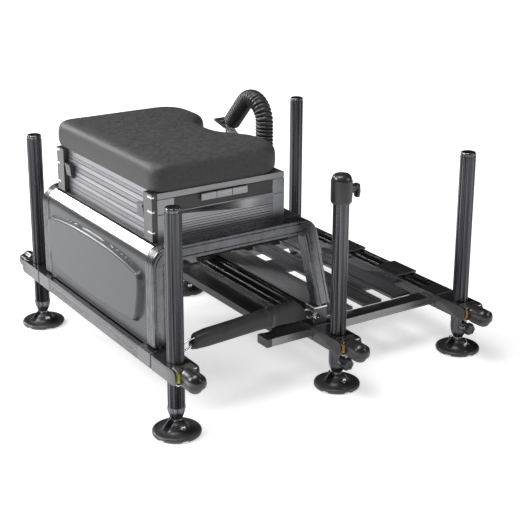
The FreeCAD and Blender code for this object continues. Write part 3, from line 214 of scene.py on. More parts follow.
def surface_grain():
    """Node group: a slow tone, a fine height and masks of sharp edges, for a painted highlight, and of
    hollows, for painted shade.
    """
    group = bpy.data.node_groups.new("surface_grain", "ShaderNodeTree")
    for name, kind in (("Vector", "Vector"), ("Broad", "Float"), ("Fine", "Float")):
        group.interface.new_socket(name=name, in_out="INPUT", socket_type="NodeSocket" + kind)
    for name in ("Tone", "Height", "Edge_glint", "Hollow_shade"):
        group.interface.new_socket(name=name, in_out="OUTPUT", socket_type="NodeSocketFloat")
    nodes, links = group.nodes, group.links
    enter = nodes.new("NodeGroupInput")
    leave = nodes.new("NodeGroupOutput")
    broad = nodes.new("ShaderNodeTexNoise")
    broad.inputs["Detail"].default_value = 5
    fine = nodes.new("ShaderNodeTexNoise")
    fine.inputs["Detail"].default_value = 2
    for texture, socket in ((broad, "Broad"), (fine, "Fine")):
        links.new(enter.outputs["Vector"], texture.inputs["Vector"])
        links.new(enter.outputs[socket], texture.inputs["Scale"])
    links.new(broad.outputs["Fac"], leave.inputs["Tone"])
    links.new(fine.outputs["Fac"], leave.inputs["Height"])
    place = nodes.new("ShaderNodeNewGeometry")
    # Pointiness picks the sharp edges that get a painted highlight and the hollows that get painted shade.
    for socket, none, full in (("Edge_glint", 0.51, 0.58), ("Hollow_shade", 0.495, 0.45)):
        mask = nodes.new("ShaderNodeMapRange")
        mask.inputs["From Min"].default_value = none
        mask.inputs["From Max"].default_value = full
        links.new(place.outputs["Pointiness"], mask.inputs["Value"])
        links.new(mask.outputs["Result"], leave.inputs[socket])
    return group


grain = surface_grain()


def calculator(nodes, links):
    """A function that adds one arithmetic node and returns its result."""
    def result(operation, first, second=None):
        node = nodes.new("ShaderNodeMath")
        node.operation = operation
        for socket, value in enumerate((first, second)):
            if isinstance(value, (int, float)):
                node.inputs[socket].default_value = value
            elif value is not None:
                links.new(value, node.inputs[socket])
        return node.outputs["Value"]
    return result


def own_axes(nodes, links, output):
    """The three parts of a point's place or facing in the piece's own frame."""
    place = nodes.new("ShaderNodeTexCoord")
    parts = nodes.new("ShaderNodeSeparateXYZ")
    links.new(place.outputs[output], parts.inputs["Vector"])
    return parts.outputs


def upward(nodes, links):
    """A mask of the faces that look up, where painted shade goes."""
    rise = nodes.new("ShaderNodeMapRange")
    rise.inputs["From Min"].default_value = 0.6
    rise.inputs["From Max"].default_value = 0.95
    links.new(own_axes(nodes, links, "Normal")["Z"], rise.inputs["Value"])
    return rise.outputs["Result"]


def stripes(across, pitch, share, clear_of, start=0.0, ink=(0.008, 0.008, 0.009)):
    """Dark grooves at a pitch across one axis, on all faces but those that look along another."""
    def lines(nodes, links):
        result = calculator(nodes, links)
        place = own_axes(nodes, links, "Object")[across]
        facing = own_axes(nodes, links, "Normal")[clear_of]
        rows = result("FRACT", result("DIVIDE", result("SUBTRACT", place, start * MM), pitch * MM))
        aside = result("LESS_THAN", result("ABSOLUTE", facing), 0.6)
        return result("MULTIPLY", result("LESS_THAN", rows, share), aside), ink
    return lines


shade_ink = (0.006, 0.006, 0.0065)


def finish(
    name, dark, light, rough, metallic=0.0, broad=9.0, fine=900.0, bump=0.05, along=(1, 1, 1), edge_glint=0.2,
    coat=0.0, lines=None, level=0.0, groove=0.6,
):
    """A surface whose tone drifts between two greys, with a fine grain and a painted highlight on its sharp
    edges.

    lines, where given, returns a mask and its colour; level paints shade on the faces that look up,
    and groove paints shade in the hollows.
    """
    paint = bpy.data.materials.new(name)
    paint.use_nodes = True
    nodes, links = paint.node_tree.nodes, paint.node_tree.links
    shader = nodes["Principled BSDF"]
    shader.inputs["Metallic"].default_value = metallic
    shader.inputs["Coat Weight"].default_value = coat
    shader.inputs["Coat Roughness"].default_value = 0.12
    place = nodes.new("ShaderNodeTexCoord")
    turn = nodes.new("ShaderNodeMapping")
    turn.inputs["Scale"].default_value = along
    links.new(place.outputs["Object"], turn.inputs["Vector"])
    skin = nodes.new("ShaderNodeGroup")
    skin.node_tree = grain
    skin.inputs["Broad"].default_value = broad
    skin.inputs["Fine"].default_value = fine
    links.new(turn.outputs["Vector"], skin.inputs["Vector"])

    def ranged(socket, low, high):
        change = nodes.new("ShaderNodeMapRange")
        change.inputs["From Min"].default_value = 0.3
        change.inputs["From Max"].default_value = 0.7
        change.inputs["To Min"].default_value = low
        change.inputs["To Max"].default_value = high
        links.new(socket, change.inputs["Value"])
        return change.outputs["Result"]

    def mixed(factor, first, colour):
        mix = nodes.new("ShaderNodeMix")
        mix.data_type = "RGBA"
        links.new(factor, mix.inputs["Factor"])
        if isinstance(first, tuple):
            mix.inputs["A"].default_value = (*first, 1)
        else:
            links.new(first, mix.inputs["A"])
        mix.inputs["B"].default_value = (*colour, 1)
        return mix.outputs["Result"]

    result = calculator(nodes, links)
    tone = mixed(ranged(skin.outputs["Tone"], 0, 1), dark, light)
    # Painted highlight: sharp edges turn a paler copy of the light grey. Painted shade: the hollows and, by
    # level, the faces that look up turn near black.
    glint_colour = tuple(min(1, channel * 2.2 + 0.1) for channel in light)
    for socket, amount, colour in (
        (skin.outputs["Edge_glint"], edge_glint, glint_colour),
        (skin.outputs["Hollow_shade"], groove, shade_ink),
        (upward(nodes, links), level, shade_ink),
    ):
        if amount:
            tone = mixed(result("MULTIPLY", socket, amount), tone, colour)
    if lines:
        mask, ink = lines(nodes, links)
        tone = mixed(mask, tone, ink)
    links.new(tone, shader.inputs["Base Color"])
    links.new(ranged(skin.outputs["Tone"], rough * 0.85, min(1, rough * 1.15)), shader.inputs["Roughness"])
    relief = nodes.new("ShaderNodeBump")
    relief.inputs["Strength"].default_value = bump
    relief.inputs["Distance"].default_value = 0.0004
    links.new(skin.outputs["Height"], relief.inputs["Height"])
    links.new(relief.outputs["Normal"], shader.inputs["Normal"])
    return paint


def paint_with(piece, *paints):
    """Gives the piece these materials and nothing else."""
    piece.data.materials.clear()
    for paint in paints:
        piece.data.materials.append(paint)
    return piece


# Beam metal: the tone runs in streaks along the beam, from near black to pale, as a painted reflection of its
# grooves. The faces that look up get painted shade (level), the sharp edges a painted highlight, and the
# hollows painted shade.
beam_metal = finish(
    "beam_metal", (0.02, 0.02, 0.022), (0.14, 0.14, 0.148), 0.25, metallic=0.9, along=(1, 0.02, 1), broad=190,
    fine=1200, edge_glint=0.12, level=0.75, groove=0.3, lines=stripes("Z", 5.3, 0.16, "Z", 128),
)
# Casting paint: a strong painted highlight on sharp edges and painted shade on the faces that look up
# (level).
casting_paint = finish(
    "casting_paint", (0.02, 0.02, 0.022), (0.06, 0.06, 0.063), 0.27, metallic=0.8, broad=30, fine=700,
    bump=0.12, edge_glint=0.6, level=0.5,
)
for node in ("rear_beam", "middle_beam", "front_beam"):
    paint_with(finished(node, beam_edge), beam_metal)
for node in ("clamp_arms_rear", "clamp_arms_middle", "clamp_arms_front"):
    paint_with(finished(node, casting_edge, 3), casting_paint)


# Clamp brackets: folded zinc-plated channels between the casting's cheeks, with a
# coloured plastic pad in each open end, lime on the rear legs and orange on the rest.
pad_long = 6.0
pad_wide = 17.0
pad_bottom = 6.0
pad_top = 26.0
bracket_end = 22.0
bracket_out = 47.0
bracket_low = {"rear": 128, "middle": 93, "front": 93}
LEG_X = {"rear": -382.5, "middle": 25.5, "front": 382.5}
LEG_Y = 338.5
SIDES = ("near", "far")
stands = [(row, side) for row in LEG_X for side in SIDES]
forward_stands = stands[2:]


def box(name, low, high, edge=0.4):
    """A block between two corners in millimetres, with broken edges."""
    bpy.ops.mesh.primitive_cube_add(size=1)
    piece = bpy.context.object
    piece.name = name
    for point in piece.data.vertices:
        for axis in range(3):
            point.co[axis] = (low[axis] if point.co[axis] < 0 else high[axis]) * MM
    soften(piece, edge)
    return piece


def corner_copy(master, name, row, side, height=0.0):
    """A copy of a piece modelled about the near leg's axis, set at one of the legs."""
    piece = bpy.data.objects.new(name, master.data.copy())
    bpy.context.scene.collection.objects.link(piece)
    turn = Matrix.Rotation(math.pi if side == "far" else 0, 4, "Z")
    out = LEG_Y if side == "far" else -LEG_Y
    piece.data.transform(Matrix.Translation((LEG_X[row] * MM, out * MM, height * MM)) @ turn)
    return piece


zinc_plate = finish(
    "zinc_plate", (0.56, 0.5, 0.38), (0.82, 0.78, 0.68), 0.28, metallic=1.0, broad=60, bump=0.15,
)
lime_pad = finish("lime_pad", (0.42, 0.46, 0.03), (0.6, 0.64, 0.06), 0.5, broad=40)
orange_pad = finish("orange_pad", (0.55, 0.2, 0.05), (0.75, 0.32, 0.1), 0.5, broad=40)
for node in ("clamp_brackets_seat", "clamp_brackets_deck"):
    paint_with(finished(node, 0.4), zinc_plate)
pads = []
for first, last in ((-bracket_end, -bracket_end + pad_long), (bracket_end - pad_long, bracket_end)):
    pads.append(box("pad", (first, -bracket_out, pad_bottom), (last, -bracket_out + pad_wide, pad_top)))
for row, side in stands:
    for number, pad in enumerate(pads):
        piece = corner_copy(pad, f"clamp_pad_{side}_{row}_{number}", row, side, bracket_low[row])
        rides(piece, "clamp_brackets_deck" if row == "front" else "clamp_brackets_seat")
        paint_with(piece, lime_pad if row == "rear" else orange_pad)
for pad in pads:
    bpy.data.objects.remove(pad)


# Clamp knobs: black glossy moulded grips, bullet-shaped with three broad lobes,
# each on a steel screw that runs through the bracket.
knob_rows = [
    (0, 18.6, 0), (4, 18.6, 0), (4, 30.2, 0), (11.6, 30.2, 0), (11.8, 49, 0), (17, 49.6, 0.3),
    (20.4, 50.2, 0.7), (21.6, 51.6, 1), (22, 55, 1), (22, 61, 1), (22, 68, 1), (22, 75, 1), (21.8, 81, 1),
]
nose_start = 82.5
nose_long = 17.3
nose_radius = 21.6
for step in range(1, 10):
    lean = math.radians(10 * step)
    out = nose_start + nose_long * math.sin(lean)
    knob_rows.append((nose_radius * math.cos(lean), out, math.cos(lean) ** 0.7))
knob_rows.append((0, nose_start + nose_long, 0))
lobe_share = 0.2
screw_z = 16


def wrapped(name, around, along, place):
    """A grid whose points are put where place(u, v) says, with its seam and poles merged."""
    bpy.ops.mesh.primitive_grid_add(x_subdivisions=around, y_subdivisions=along, size=1)
    piece = bpy.context.object
    piece.name = name
    for point in piece.data.vertices:
        point.co = Vector(place(point.co.x + 0.5, point.co.y + 0.5)) * MM
    bpy.ops.object.mode_set(mode="EDIT")
    bpy.ops.mesh.select_all(action="SELECT")
    bpy.ops.mesh.remove_doubles(threshold=2 * merge_gap)
    bpy.ops.mesh.normals_make_consistent(inside=False)
    bpy.ops.object.mode_set(mode="OBJECT")
    bpy.ops.object.shade_smooth_by_angle(angle=math.radians(smooth_turn))
    return piece


def turned(name, rows, around, shape=None, outward=False):
    """A turned piece: rows hold radius, height and any weight; shape(angle, row) alters the radius."""
    last = len(rows) - 1

    def place(u, v):
        row = rows[round(v * last)]
        angle = 2 * math.pi * u
        radius = shape(angle, row) if shape else row[0]
        across, up = radius * math.cos(angle), radius * math.sin(angle)
        return (across, -row[1], up) if outward else (across, up, row[1])

    return wrapped(name, around, last, place)


def knob_shape(angle, row):
    """Three broad lobes parted by narrower valleys."""
    valley = max(0.0, math.cos(3 * (angle - math.pi / 3))) ** 1.6
    return row[0] * (1 - lobe_share * row[2] * valley)


knob_plastic = finish(
    "knob_plastic", (0.012, 0.012, 0.013), (0.024, 0.024, 0.026), 0.3, broad=30, bump=0.06, coat=0.25,
)
knob_master = turned("knob_master", knob_rows, 72, knob_shape, outward=True)
for row, side in stands:
    node = f"clamp_knob_{side}_{row}"
    piece = corner_copy(knob_master, node + "_grip", row, side, bracket_low[row] + screw_z)
    paint_with(stands_for(piece, node), knob_plastic)
bpy.data.objects.remove(knob_master)


# Legs: dark anodised tubes with ten flutes and a plastic cap. The rear ones taper,
# still fluted, to the neck; the others end in a smooth boss with a lock screw.
leg_radius = 18
flute_deep = 1.3
flute_half = 0.2
tongue_half = 8.5
tongue_low = 13
tongue_top = 38
lock_z = 64


def fluted(angle, row):
    """Ten round flutes, as deep as the row's weight says."""
    pitch = math.pi / 5
    off = abs((angle + pitch / 2) % pitch - pitch / 2)
    groove = max(0.0, 1 - (off / flute_half) ** 2)
    return row[0] - flute_deep * row[2] * groove * row[0] / leg_radius


cap_rows = [
    (0, 484.6, 0), (12.5, 484.6, 0), (13.5, 485, 0), (15.6, 484.9, 0.3), (16.8, 484, 0.6), (17.4, 482, 0.9),
    (17.6, 477, 1), (17.2, 476.4, 1), (17.2, 475.8, 1), (17.9, 475.4, 1), (18, 474.8, 1),
]
rear_rows = cap_rows + [
    (18, 63, 1), (18.4, 62.4, 1), (18.9, 61, 1), (19, 56, 1), (18.4, 52, 1), (17, 47, 0.9), (15.2, 42, 0.8),
    (13.2, 37, 0.6), (11.6, 34, 0.3), (10.6, 33, 0), (0, 33, 0),
]
front_rows = cap_rows + [
    (18, 93, 1), (18, 92, 0), (19, 91.4, 0), (19.2, 90, 0), (19.2, 62, 0), (18.9, 56, 0), (18, 50, 0),
    (16.4, 44, 0), (14.2, 39, 0), (12, 35.5, 0), (10.8, 33.4, 0), (0, 33, 0),
]
boss_rows = [(0, 12, 0), (11.5, 12, 0), (11.2, 20, 0), (10.4, 24.4, 0), (9.6, 25.3, 0), (0, 25.4, 0)]


def joined(name, pieces):
    """Several pieces made one object."""
    bpy.ops.object.select_all(action="DESELECT")
    for piece in pieces:
        piece.select_set(True)
    bpy.context.view_layer.objects.active = pieces[0]
    bpy.ops.object.join()
    pieces[0].name = name
    return pieces[0]


def leg(name, rows, with_boss):
    """A whole leg about its own axis, from the cap down to the tongue that holds the foot."""
    half = tongue_half
    pieces = [
        turned(name, rows, 140, fluted),
        box("tongue", (-half, -half, tongue_low), (half, half, tongue_top), 2.4),
    ]
    if with_boss:
        boss = turned("boss", boss_rows, 36, outward=True)
        boss.data.transform(Matrix.Translation((0, 0, lock_z * MM)))
        pieces.append(boss)
    return joined(name, pieces)


# Tube metal: the tone runs in fine streaks down the tube, from near black to pale, as a painted reflection of
# its flutes. The sharp edges get a painted highlight and the flutes heavy painted shade.
tube_metal = finish(
    "tube_metal", (0.022, 0.022, 0.027), (0.16, 0.16, 0.175), 0.24, metallic=0.9, broad=230, fine=1500,
    along=(1, 1, 0.015), edge_glint=0.5, groove=0.85,
)
rear_master = leg("rear_master", rear_rows, False)
front_master = leg("front_master", front_rows, True)
for row, side in stands:
    node = f"leg_{side}_{row}"
    piece = corner_copy(rear_master if row == "rear" else front_master, node + "_tube", row, side)
    paint_with(stands_for(piece, node), tube_metal)
bpy.data.objects.remove(rear_master)
bpy.data.objects.remove(front_master)


# Feet: wide moulded discs, dished, with a notched rim and a slotted saddle that
# tilts on a bright cross bolt.
foot_rows = [
    (0, 0.2), (47, 0.2), (49.5, 0.6), (51, 2), (51.5, 4), (51.4, 6.6), (50.4, 8.8), (48.4, 10), (46, 10),
    (43.6, 9.2), (40, 8.6), (36, 8.8), (31.5, 10), (27.5, 12.4), (24.6, 15.6), (22.4, 19.4), (20.2, 23.4),
    (17.6, 26.4), (14.4, 27.8), (10, 28), (0, 28),
]
pivot_z = 20.0
slot_low = (-31, -9.2, 10.6)
slot_high = (31, 9.2, 40)
notch_low = (44.5, -7.5, -2)
notch_high = (60, 7.5, 4.4)
notch_count = 6
notch_first = 22


def cut_by(piece, tool):
    """Takes one solid away from another."""
    only(piece)
    cut = piece.modifiers.new("cut", "BOOLEAN")
    cut.operation = "DIFFERENCE"
    cut.solver = "EXACT"
    cut.object = tool
    bpy.ops.object.modifier_apply(modifier=cut.name)
    bpy.data.objects.remove(tool)


foot_master = turned("foot_master", foot_rows, 96)
cut_by(foot_master, box("slot", slot_low, slot_high, 3))
for number in range(notch_count):
    notch = box("notch", notch_low, notch_high, 0.8)
    turn = math.radians(360 / notch_count * number + notch_first)
    notch.data.transform(Matrix.Rotation(turn, 4, "Z"))
    cut_by(foot_master, notch)
soften(foot_master, 0, angle=32)
bolt_rows = [
    (0, 22), (3.6, 22), (3.6, 23.6), (5.9, 23.8), (6.2, 24.3), (6.2, 26.4), (5.4, 27.2), (2.6, 27.4),
    (2.4, 26.6), (0, 26.6),
]
bolt_master = turned("bolt_master", bolt_rows, 6, outward=True)
soften(bolt_master, 0.25)
bolt_master.data.transform(Matrix.Translation((0, 0, pivot_z * MM)))
nut_master = bpy.data.objects.new("nut_master", bolt_master.data.copy())
bpy.context.scene.collection.objects.link(nut_master)
nut_master.data.transform(Matrix.Rotation(math.pi, 4, "Z"))
foot_plastic = finish(
    "foot_plastic", (0.026, 0.026, 0.028), (0.05, 0.05, 0.053), 0.36, broad=30, fine=500, bump=0.12, edge_glint=0.3,
)
bright_plate = finish("bright_plate", (0.62, 0.62, 0.64), (0.85, 0.85, 0.87), 0.16, metallic=1.0, bump=0.02)
for row, side in stands:
    node = f"foot_{side}_{row}"
    paint_with(stands_for(corner_copy(foot_master, node + "_disc", row, side), node), foot_plastic)
    for tag, master in (("bolt", bolt_master), ("nut", nut_master)):
        paint_with(rides(corner_copy(master, f"{node}_{tag}", row, side), node), bright_plate)
for master in (foot_master, bolt_master, nut_master):
    bpy.data.objects.remove(master)


# Lock knobs: small six-lobed moulded grips, each on a screw in the boss of a
# middle or front leg's end.
lock_rows = [
    (0, 11.2, 0), (4, 11.2, 0), (4, 26.2, 0), (9, 26.3, 0), (12.4, 26.8, 0.6), (14, 28.4, 1), (14.4, 31, 1),
    (14.4, 38, 1), (13.8, 41.2, 1), (12.2, 43.2, 0.8), (9.4, 43.9, 0.3), (6.4, 43.9, 0), (5.4, 42.8, 0),
    (0, 42.6, 0),
]
star_deep = 0.15


def star_shape(angle, row):
    """Six even lobes."""
    return row[0] * (1 - star_deep * row[2] * (0.5 - 0.5 * math.cos(6 * angle)))


lock_master = turned("lock_master", lock_rows, 72, star_shape, outward=True)
for row, side in forward_stands:
    node = f"lock_knob_{side}_{row}"
    paint_with(stands_for(corner_copy(lock_master, node + "_star", row, side, lock_z), node), knob_plastic)
bpy.data.objects.remove(lock_master)


# Side frames: one bent, grooved extrusion on each side, standing on black pillars
# and bolted to the castings.
# Frame metal: painted shade on the faces that look up (level), a painted highlight on sharp edges and painted
# shade in the hollows. The stripes are its real grooves.
frame_metal = finish(
    "frame_metal", (0.075, 0.076, 0.082), (0.15, 0.152, 0.16), 0.28, metallic=0.9, broad=40, fine=1200,
    edge_glint=0.5, level=0.45, groove=0.3, lines=stripes("Y", 6.4, 0.18, "Y", 241.5),
)
for node in ("side_frame_near", "side_frame_far"):
    paint_with(finished(node, 0.5, level=False), frame_metal)
paint_with(finished("front_pillars", 2, 3), casting_paint)
washer_metal = finish("washer_metal", (0.5, 0.5, 0.5), (0.75, 0.75, 0.75), 0.25, metallic=1.0, broad=60)


def side_box(name, side, x_span, out_span, z_span, edge):
    """A block at one side of the seat, between two distances out from its middle plane."""
    out = 1 if side == "far" else -1
    y_low, y_high = sorted(out * distance for distance in out_span)
    return box(name, (x_span[0], y_low, z_span[0]), (x_span[1], y_high, z_span[1]), edge)


for side in SIDES:
    plate = side_box(f"frame_foot_plate_{side}", side, (7.5, 43), (241, 274), (161.8, 165.8), 0.6)
    paint_with(rides(plate, "front_pillars"), washer_metal)
paint_with(finished("frame_bolts", 0.5), bright_plate)


# Rear panel: one moulded grey sheet that follows the frames' bend, with a broad
# raised field left plain, under a bright ribbed rail.
panel_half = 241.3
panel_low = 160.0
bend_z = 336.0
bend_x = -354.5
panel_reach = 39.5
bend_turn = 31.0
field_half = 229.0
field_rise = 11.6
field_wall = 8.0
field_round = 17.0
field_top = 335
field_bottom = 188
crown = 19
sag = 14
sheet = 3


def rounded_least(first, second, radius):
    """The lesser of two distances, with a round corner where both are small."""
    if first < radius and second < radius:
        return radius - math.hypot(radius - first, radius - second)
    return min(first, second)


def panel_point(u, v):
    """A point of the panel's outer face."""
    y = (2 * u - 1) * panel_half
    arc = math.radians(bend_turn) * panel_reach
    along = v * (bend_z - panel_low + arc)
    if along > bend_z - panel_low:
        angle = math.pi - (along - bend_z + panel_low) / panel_reach
        return (bend_x + panel_reach * math.cos(angle), y, bend_z + panel_reach * math.sin(angle))
    z = panel_low + along
    share = min(1.2, abs(y) / field_half)
    top = field_top - crown * share ** 2.4 - z
    bottom = z - field_bottom - sag * share ** 2
    side = field_half - 22 * (max(0.0, 300 - z) / 100) ** 2 - abs(y)
    inside = rounded_least(rounded_least(top, side, field_round), bottom, field_round)
    raised = field_rise * math.sin(math.pi / 2 * min(1.0, max(0.0, inside / field_wall)))
    return (bend_x - panel_reach - raised, y, z)


panel_plastic = finish(
    "panel_plastic", (0.034, 0.036, 0.039), (0.05, 0.053, 0.057), 0.3, broad=4, fine=600, bump=0.1, edge_glint=0.25,
    groove=0.3,
)
panel = wrapped("rear_panel_moulding", 220, 110, panel_point)
only(panel)
bpy.ops.object.shade_smooth()
wall = panel.modifiers.new("wall", "SOLIDIFY")
wall.thickness = sheet * MM
wall.offset = -1
bpy.ops.object.modifier_apply(modifier=wall.name)
paint_with(stands_for(panel, "rear_panel"), panel_plastic)
rail_metal = finish(
    "rail_metal", (0.45, 0.45, 0.45), (0.75, 0.75, 0.75), 0.24, metallic=1.0, broad=120, along=(1, 0.03, 1),
    lines=stripes("Z", 4.2, 0.3, "Y", 353, (0.12, 0.12, 0.12)),
)
paint_with(finished("rear_top_rail", 0), rail_metal)


# Platform, front crossbar and shelf: dark satin sheet and bar that close the frame
# and carry the trays, the handle's lugs and whatever is stowed under the seat.
plate_metal = finish("plate_metal", (0.03, 0.03, 0.032), (0.055, 0.055, 0.058), 0.45, metallic=0.6)
for node in ("platform_plate", "front_crossbar", "shelf_plate"):
    paint_with(finished(node, 0.8), plate_metal)


# Trays: folded aluminium boxes with brushed and hatched bands parted by dark
# grooves, black corner columns, plain grey corner blocks and a dark drawer front.
row_pitch = 11.2
row_start = 378.5
line_share = 0.13
hatch_pitch = 2.6
hatch_slant = 1.4
hatch_share = 0.42
hatch_weight = 0.7
fine_share = 0.2
fine_top = 418
column_front = -359.7


def tray_bands(nodes, links):
    """A mask of the dark lines and the slanting hatch, fine lines only on the side faces."""
    result = calculator(nodes, links)
    place = own_axes(nodes, links, "Object")
    facing = own_axes(nodes, links, "Normal")
    rows = result("DIVIDE", result("SUBTRACT", place["Z"], row_start * MM), row_pitch * MM)
    line = result("LESS_THAN", result("FRACT", rows), line_share)
    odd = result("GREATER_THAN", result("FRACT", result("MULTIPLY", rows, 0.5)), 0.5)
    slant = result("ADD", place["Y"], result("MULTIPLY", place["Z"], hatch_slant))
    stripe = result("LESS_THAN", result("FRACT", result("DIVIDE", slant, hatch_pitch * MM)), hatch_share)
    hatch = result("MULTIPLY", result("MULTIPLY", stripe, odd), hatch_weight)
    behind = result("GREATER_THAN", result("ABSOLUTE", facing["X"]), 0.5)
    thin = result("LESS_THAN", result("FRACT", result("MULTIPLY", rows, 2)), fine_share)
    low = result("LESS_THAN", place["Z"], fine_top * MM)
    beside = result("GREATER_THAN", result("ABSOLUTE", facing["Y"]), 0.5)
    rear_mask = result("MULTIPLY", result("MAXIMUM", line, hatch), behind)
    side_mask = result("MULTIPLY", result("MULTIPLY", thin, low), beside)
    return result("MAXIMUM", rear_mask, side_mask), (0.012, 0.012, 0.014)


tray_metal = finish(
    "tray_metal", (0.16, 0.16, 0.175), (0.36, 0.36, 0.38), 0.4, metallic=0.9, broad=90, fine=1100,
    along=(0.06, 0.03, 1), lines=tray_bands,
)
block_metal = finish(
    "block_metal", (0.2, 0.21, 0.225), (0.3, 0.31, 0.33), 0.4, metallic=0.85, broad=12, fine=800,
)
drawer_paint = finish("drawer_paint", (0.022, 0.021, 0.021), (0.03, 0.029, 0.029), 0.42, bump=0.05)
lid_metal = finish(
    "lid_metal", (0.2, 0.2, 0.21), (0.3, 0.3, 0.31), 0.4, metallic=0.85, broad=50, along=(0.06, 0.03, 1),
)
lower = paint_with(finished("lower_tray", 0.35), tray_metal, knob_plastic)
for face in lower.data.polygons:
    if face.center.x < column_front * MM:
        face.material_index = 1
paint_with(finished("upper_tray", 0.35), tray_metal)
paint_with(finished("lid_board", 0.6), lid_metal)
paint_with(finished("drawer", 0.4), drawer_paint)
for tag, x_span in (("rear", (-359.3, -320.5)), ("front", (-77.5, -48.3))):
    for side in SIDES:
        for node, z_span in (("lower_tray", (377.5, 433)), ("upper_tray", (434.6, 465.4))):
            piece = side_box(f"{node}_{tag}_{side}_block", side, x_span, (230.5, 232.3), z_span, 0.5)
            paint_with(rides(piece, node), block_metal)
for side in SIDES:
    for number, z in enumerate((396, 440, 471)):
        tab_z = (z, z + 3.4)
        piece = side_box(f"column_tab_{side}_{number}", side, (-372.6, -366), (214, 232.4), tab_z, 0.5)
        paint_with(rides(piece, "lower_tray"), bright_plate)
for node in ("latch_near", "latch_far"):
    paint_with(finished(node, 0.5), knob_plastic)


# Drawer pull: a folded bright strip in three short lengths, fixed to the top of
# the drawer's front with its lip hanging down.
pull_metal = finish(
    "pull_metal", (0.14, 0.14, 0.15), (0.3, 0.3, 0.31), 0.25, metallic=1.0, broad=90, along=(0.05, 1, 1),
)
pull_spans = ((-259, -222), (-221.2, -184), (-183.2, -146))
pull = []
for first, last in pull_spans:
    pull.append(box("pull_length", (first, -238.3, 457), (last, -231.4, 465.2), 0.9))
    pull.append(box("pull_lip", (first, -238.4, 450.3), (last, -236.6, 458), 0.6))
paint_with(stands_for(joined("drawer_pull_strip", pull), "drawer_pull"), pull_metal)


# Cushion: a firm foam block in charcoal coated cloth, tight at the rear corners,
# rounder in front, with a notch for the handle. The cover is drawn in underneath.
cushion_low = 479.6
cushion_tall = 63.5
cushion_start = -372.5
cushion_end = -47.5
cushion_half = 241.5
rear_corner = 27.0
front_corner = 62.0
notch_deep = 53.0
notch_y = 3.0
notch_reach = {True: 90, False: 74}
crown_back = 22
cloth_frames = 20
smooth_passes = 14
cushion_rings = (
    (0.0, 200), (0.0, 60), (0.0, 9), (0.03, 5), (0.09, 2), (0.2, 0.8), (0.38, 0.3), (0.58, 0.4), (0.72, 1.2),
    (0.81, 3), (0.885, 6.5), (0.94, 11.5), (0.972, 18), (0.988, 28), (0.997, 48), (1.0, 200),
)


def cushion_rim(inset):
    """Points round the cushion at one inset from its widest outline."""
    low, high, half = cushion_start + inset, cushion_end - inset, cushion_half - inset
    points = []

    def arc(centre_x, centre_y, radius, first):
        for step in range(13):
            angle = math.radians(first + 90 * step / 12)
            points.append((centre_x + radius * math.cos(angle), centre_y + radius * math.sin(angle)))

    rear = max(3.0, rear_corner - inset * 0.5)
    front = max(8.0, front_corner - inset * 0.6)
    arc(low + rear, -half + rear, rear, 180)
    arc(high - front, -half + front, front, 270)
    for step in range(1, 44):
        y = (half - front) * (step / 22 - 1)
        offset = abs(y - notch_y) / (notch_reach[y < notch_y] + inset * 0.5)
        points.append((high - notch_deep * math.exp(-0.9 * offset ** 4), y))
    arc(high - front, half - front, front, 0)
    arc(low + rear, half - rear, rear, 90)
    points.append(points[0])
    lengths = [0.0]
    for one, two in zip(points, points[1:]):
        lengths.append(lengths[-1] + math.dist(one, two))
    return points, lengths


def along_rim(rim, share):
    """The point at a share of the way round the rim."""
    points, lengths = rim
    want = share * lengths[-1]
    for index in range(1, len(points)):
        if lengths[index] >= want:
            part = (want - lengths[index - 1]) / max(0.001, lengths[index] - lengths[index - 1])
            one, two = points[index - 1], points[index]
            return one[0] + (two[0] - one[0]) * part, one[1] + (two[1] - one[1]) * part
    return points[-1]


cushion_rims = [cushion_rim(inset) for height, inset in cushion_rings if inset < 100]


def cushion_point(u, v):
    """A point of the cushion's skin, from the middle of its base to the middle of its crown."""
    last = len(cushion_rings) - 1
    index = round(v * last)
    z = cushion_low + cushion_tall * cushion_rings[index][0]
    if index in (0, last):
        return ((cushion_start + cushion_end) / 2 - crown_back, 0, z)
    x, y = along_rim(cushion_rims[index - 1], u)
    return (x, y, z)


def plumped(piece, voxel, pressure, most, keep_below):
    """Blows the piece up as cloth, holding each point near its start and its base still."""
    only(piece)
    remesh = piece.modifiers.new("even", "REMESH")
    remesh.mode = "VOXEL"
    remesh.voxel_size = voxel * MM
    bpy.ops.object.modifier_apply(modifier=remesh.name)
    start = [point.co.copy() for point in piece.data.vertices]
    held = piece.vertex_groups.new(name="held")
    held.add([point.index for point in piece.data.vertices if point.co.z < keep_below * MM], 1.0, "ADD")
    cloth = piece.modifiers.new("cover", "CLOTH")
    cloth.settings.use_pressure = True
    cloth.settings.uniform_pressure_force = pressure
    cloth.settings.vertex_group_mass = "held"
    cloth.settings.effector_weights.gravity = 0
    for number in range(1, cloth_frames + 1):
        bpy.context.scene.frame_set(number)
    only(piece)
    bpy.ops.object.modifier_apply(modifier=cloth.name)
    bpy.context.scene.frame_set(1)
    for point, old in zip(piece.data.vertices, start):
        move = point.co - old
        if move.length > most * MM:
            point.co = old + move.normalized() * most * MM
    only(piece)
    smooth = piece.modifiers.new("smooth", "SMOOTH")
    smooth.iterations = smooth_passes
    bpy.ops.object.modifier_apply(modifier=smooth.name)
    detail = piece.modifiers.new("detail", "SUBSURF")
    detail.levels = detail.render_levels = 1
    bpy.ops.object.modifier_apply(modifier=detail.name)
    bpy.ops.object.shade_smooth()


cover_cloth = finish(
    "cover_cloth", (0.03, 0.03, 0.031), (0.055, 0.055, 0.056), 0.55, broad=150, fine=1600, bump=0.5, edge_glint=0.0,
    groove=0.0,
)
cushion = wrapped("cushion_cover", 200, len(cushion_rings) - 1, cushion_point)
plumped(cushion, 5, 4, 0.5, cushion_low + 6)
paint_with(stands_for(cushion, "cushion"), cover_cloth)


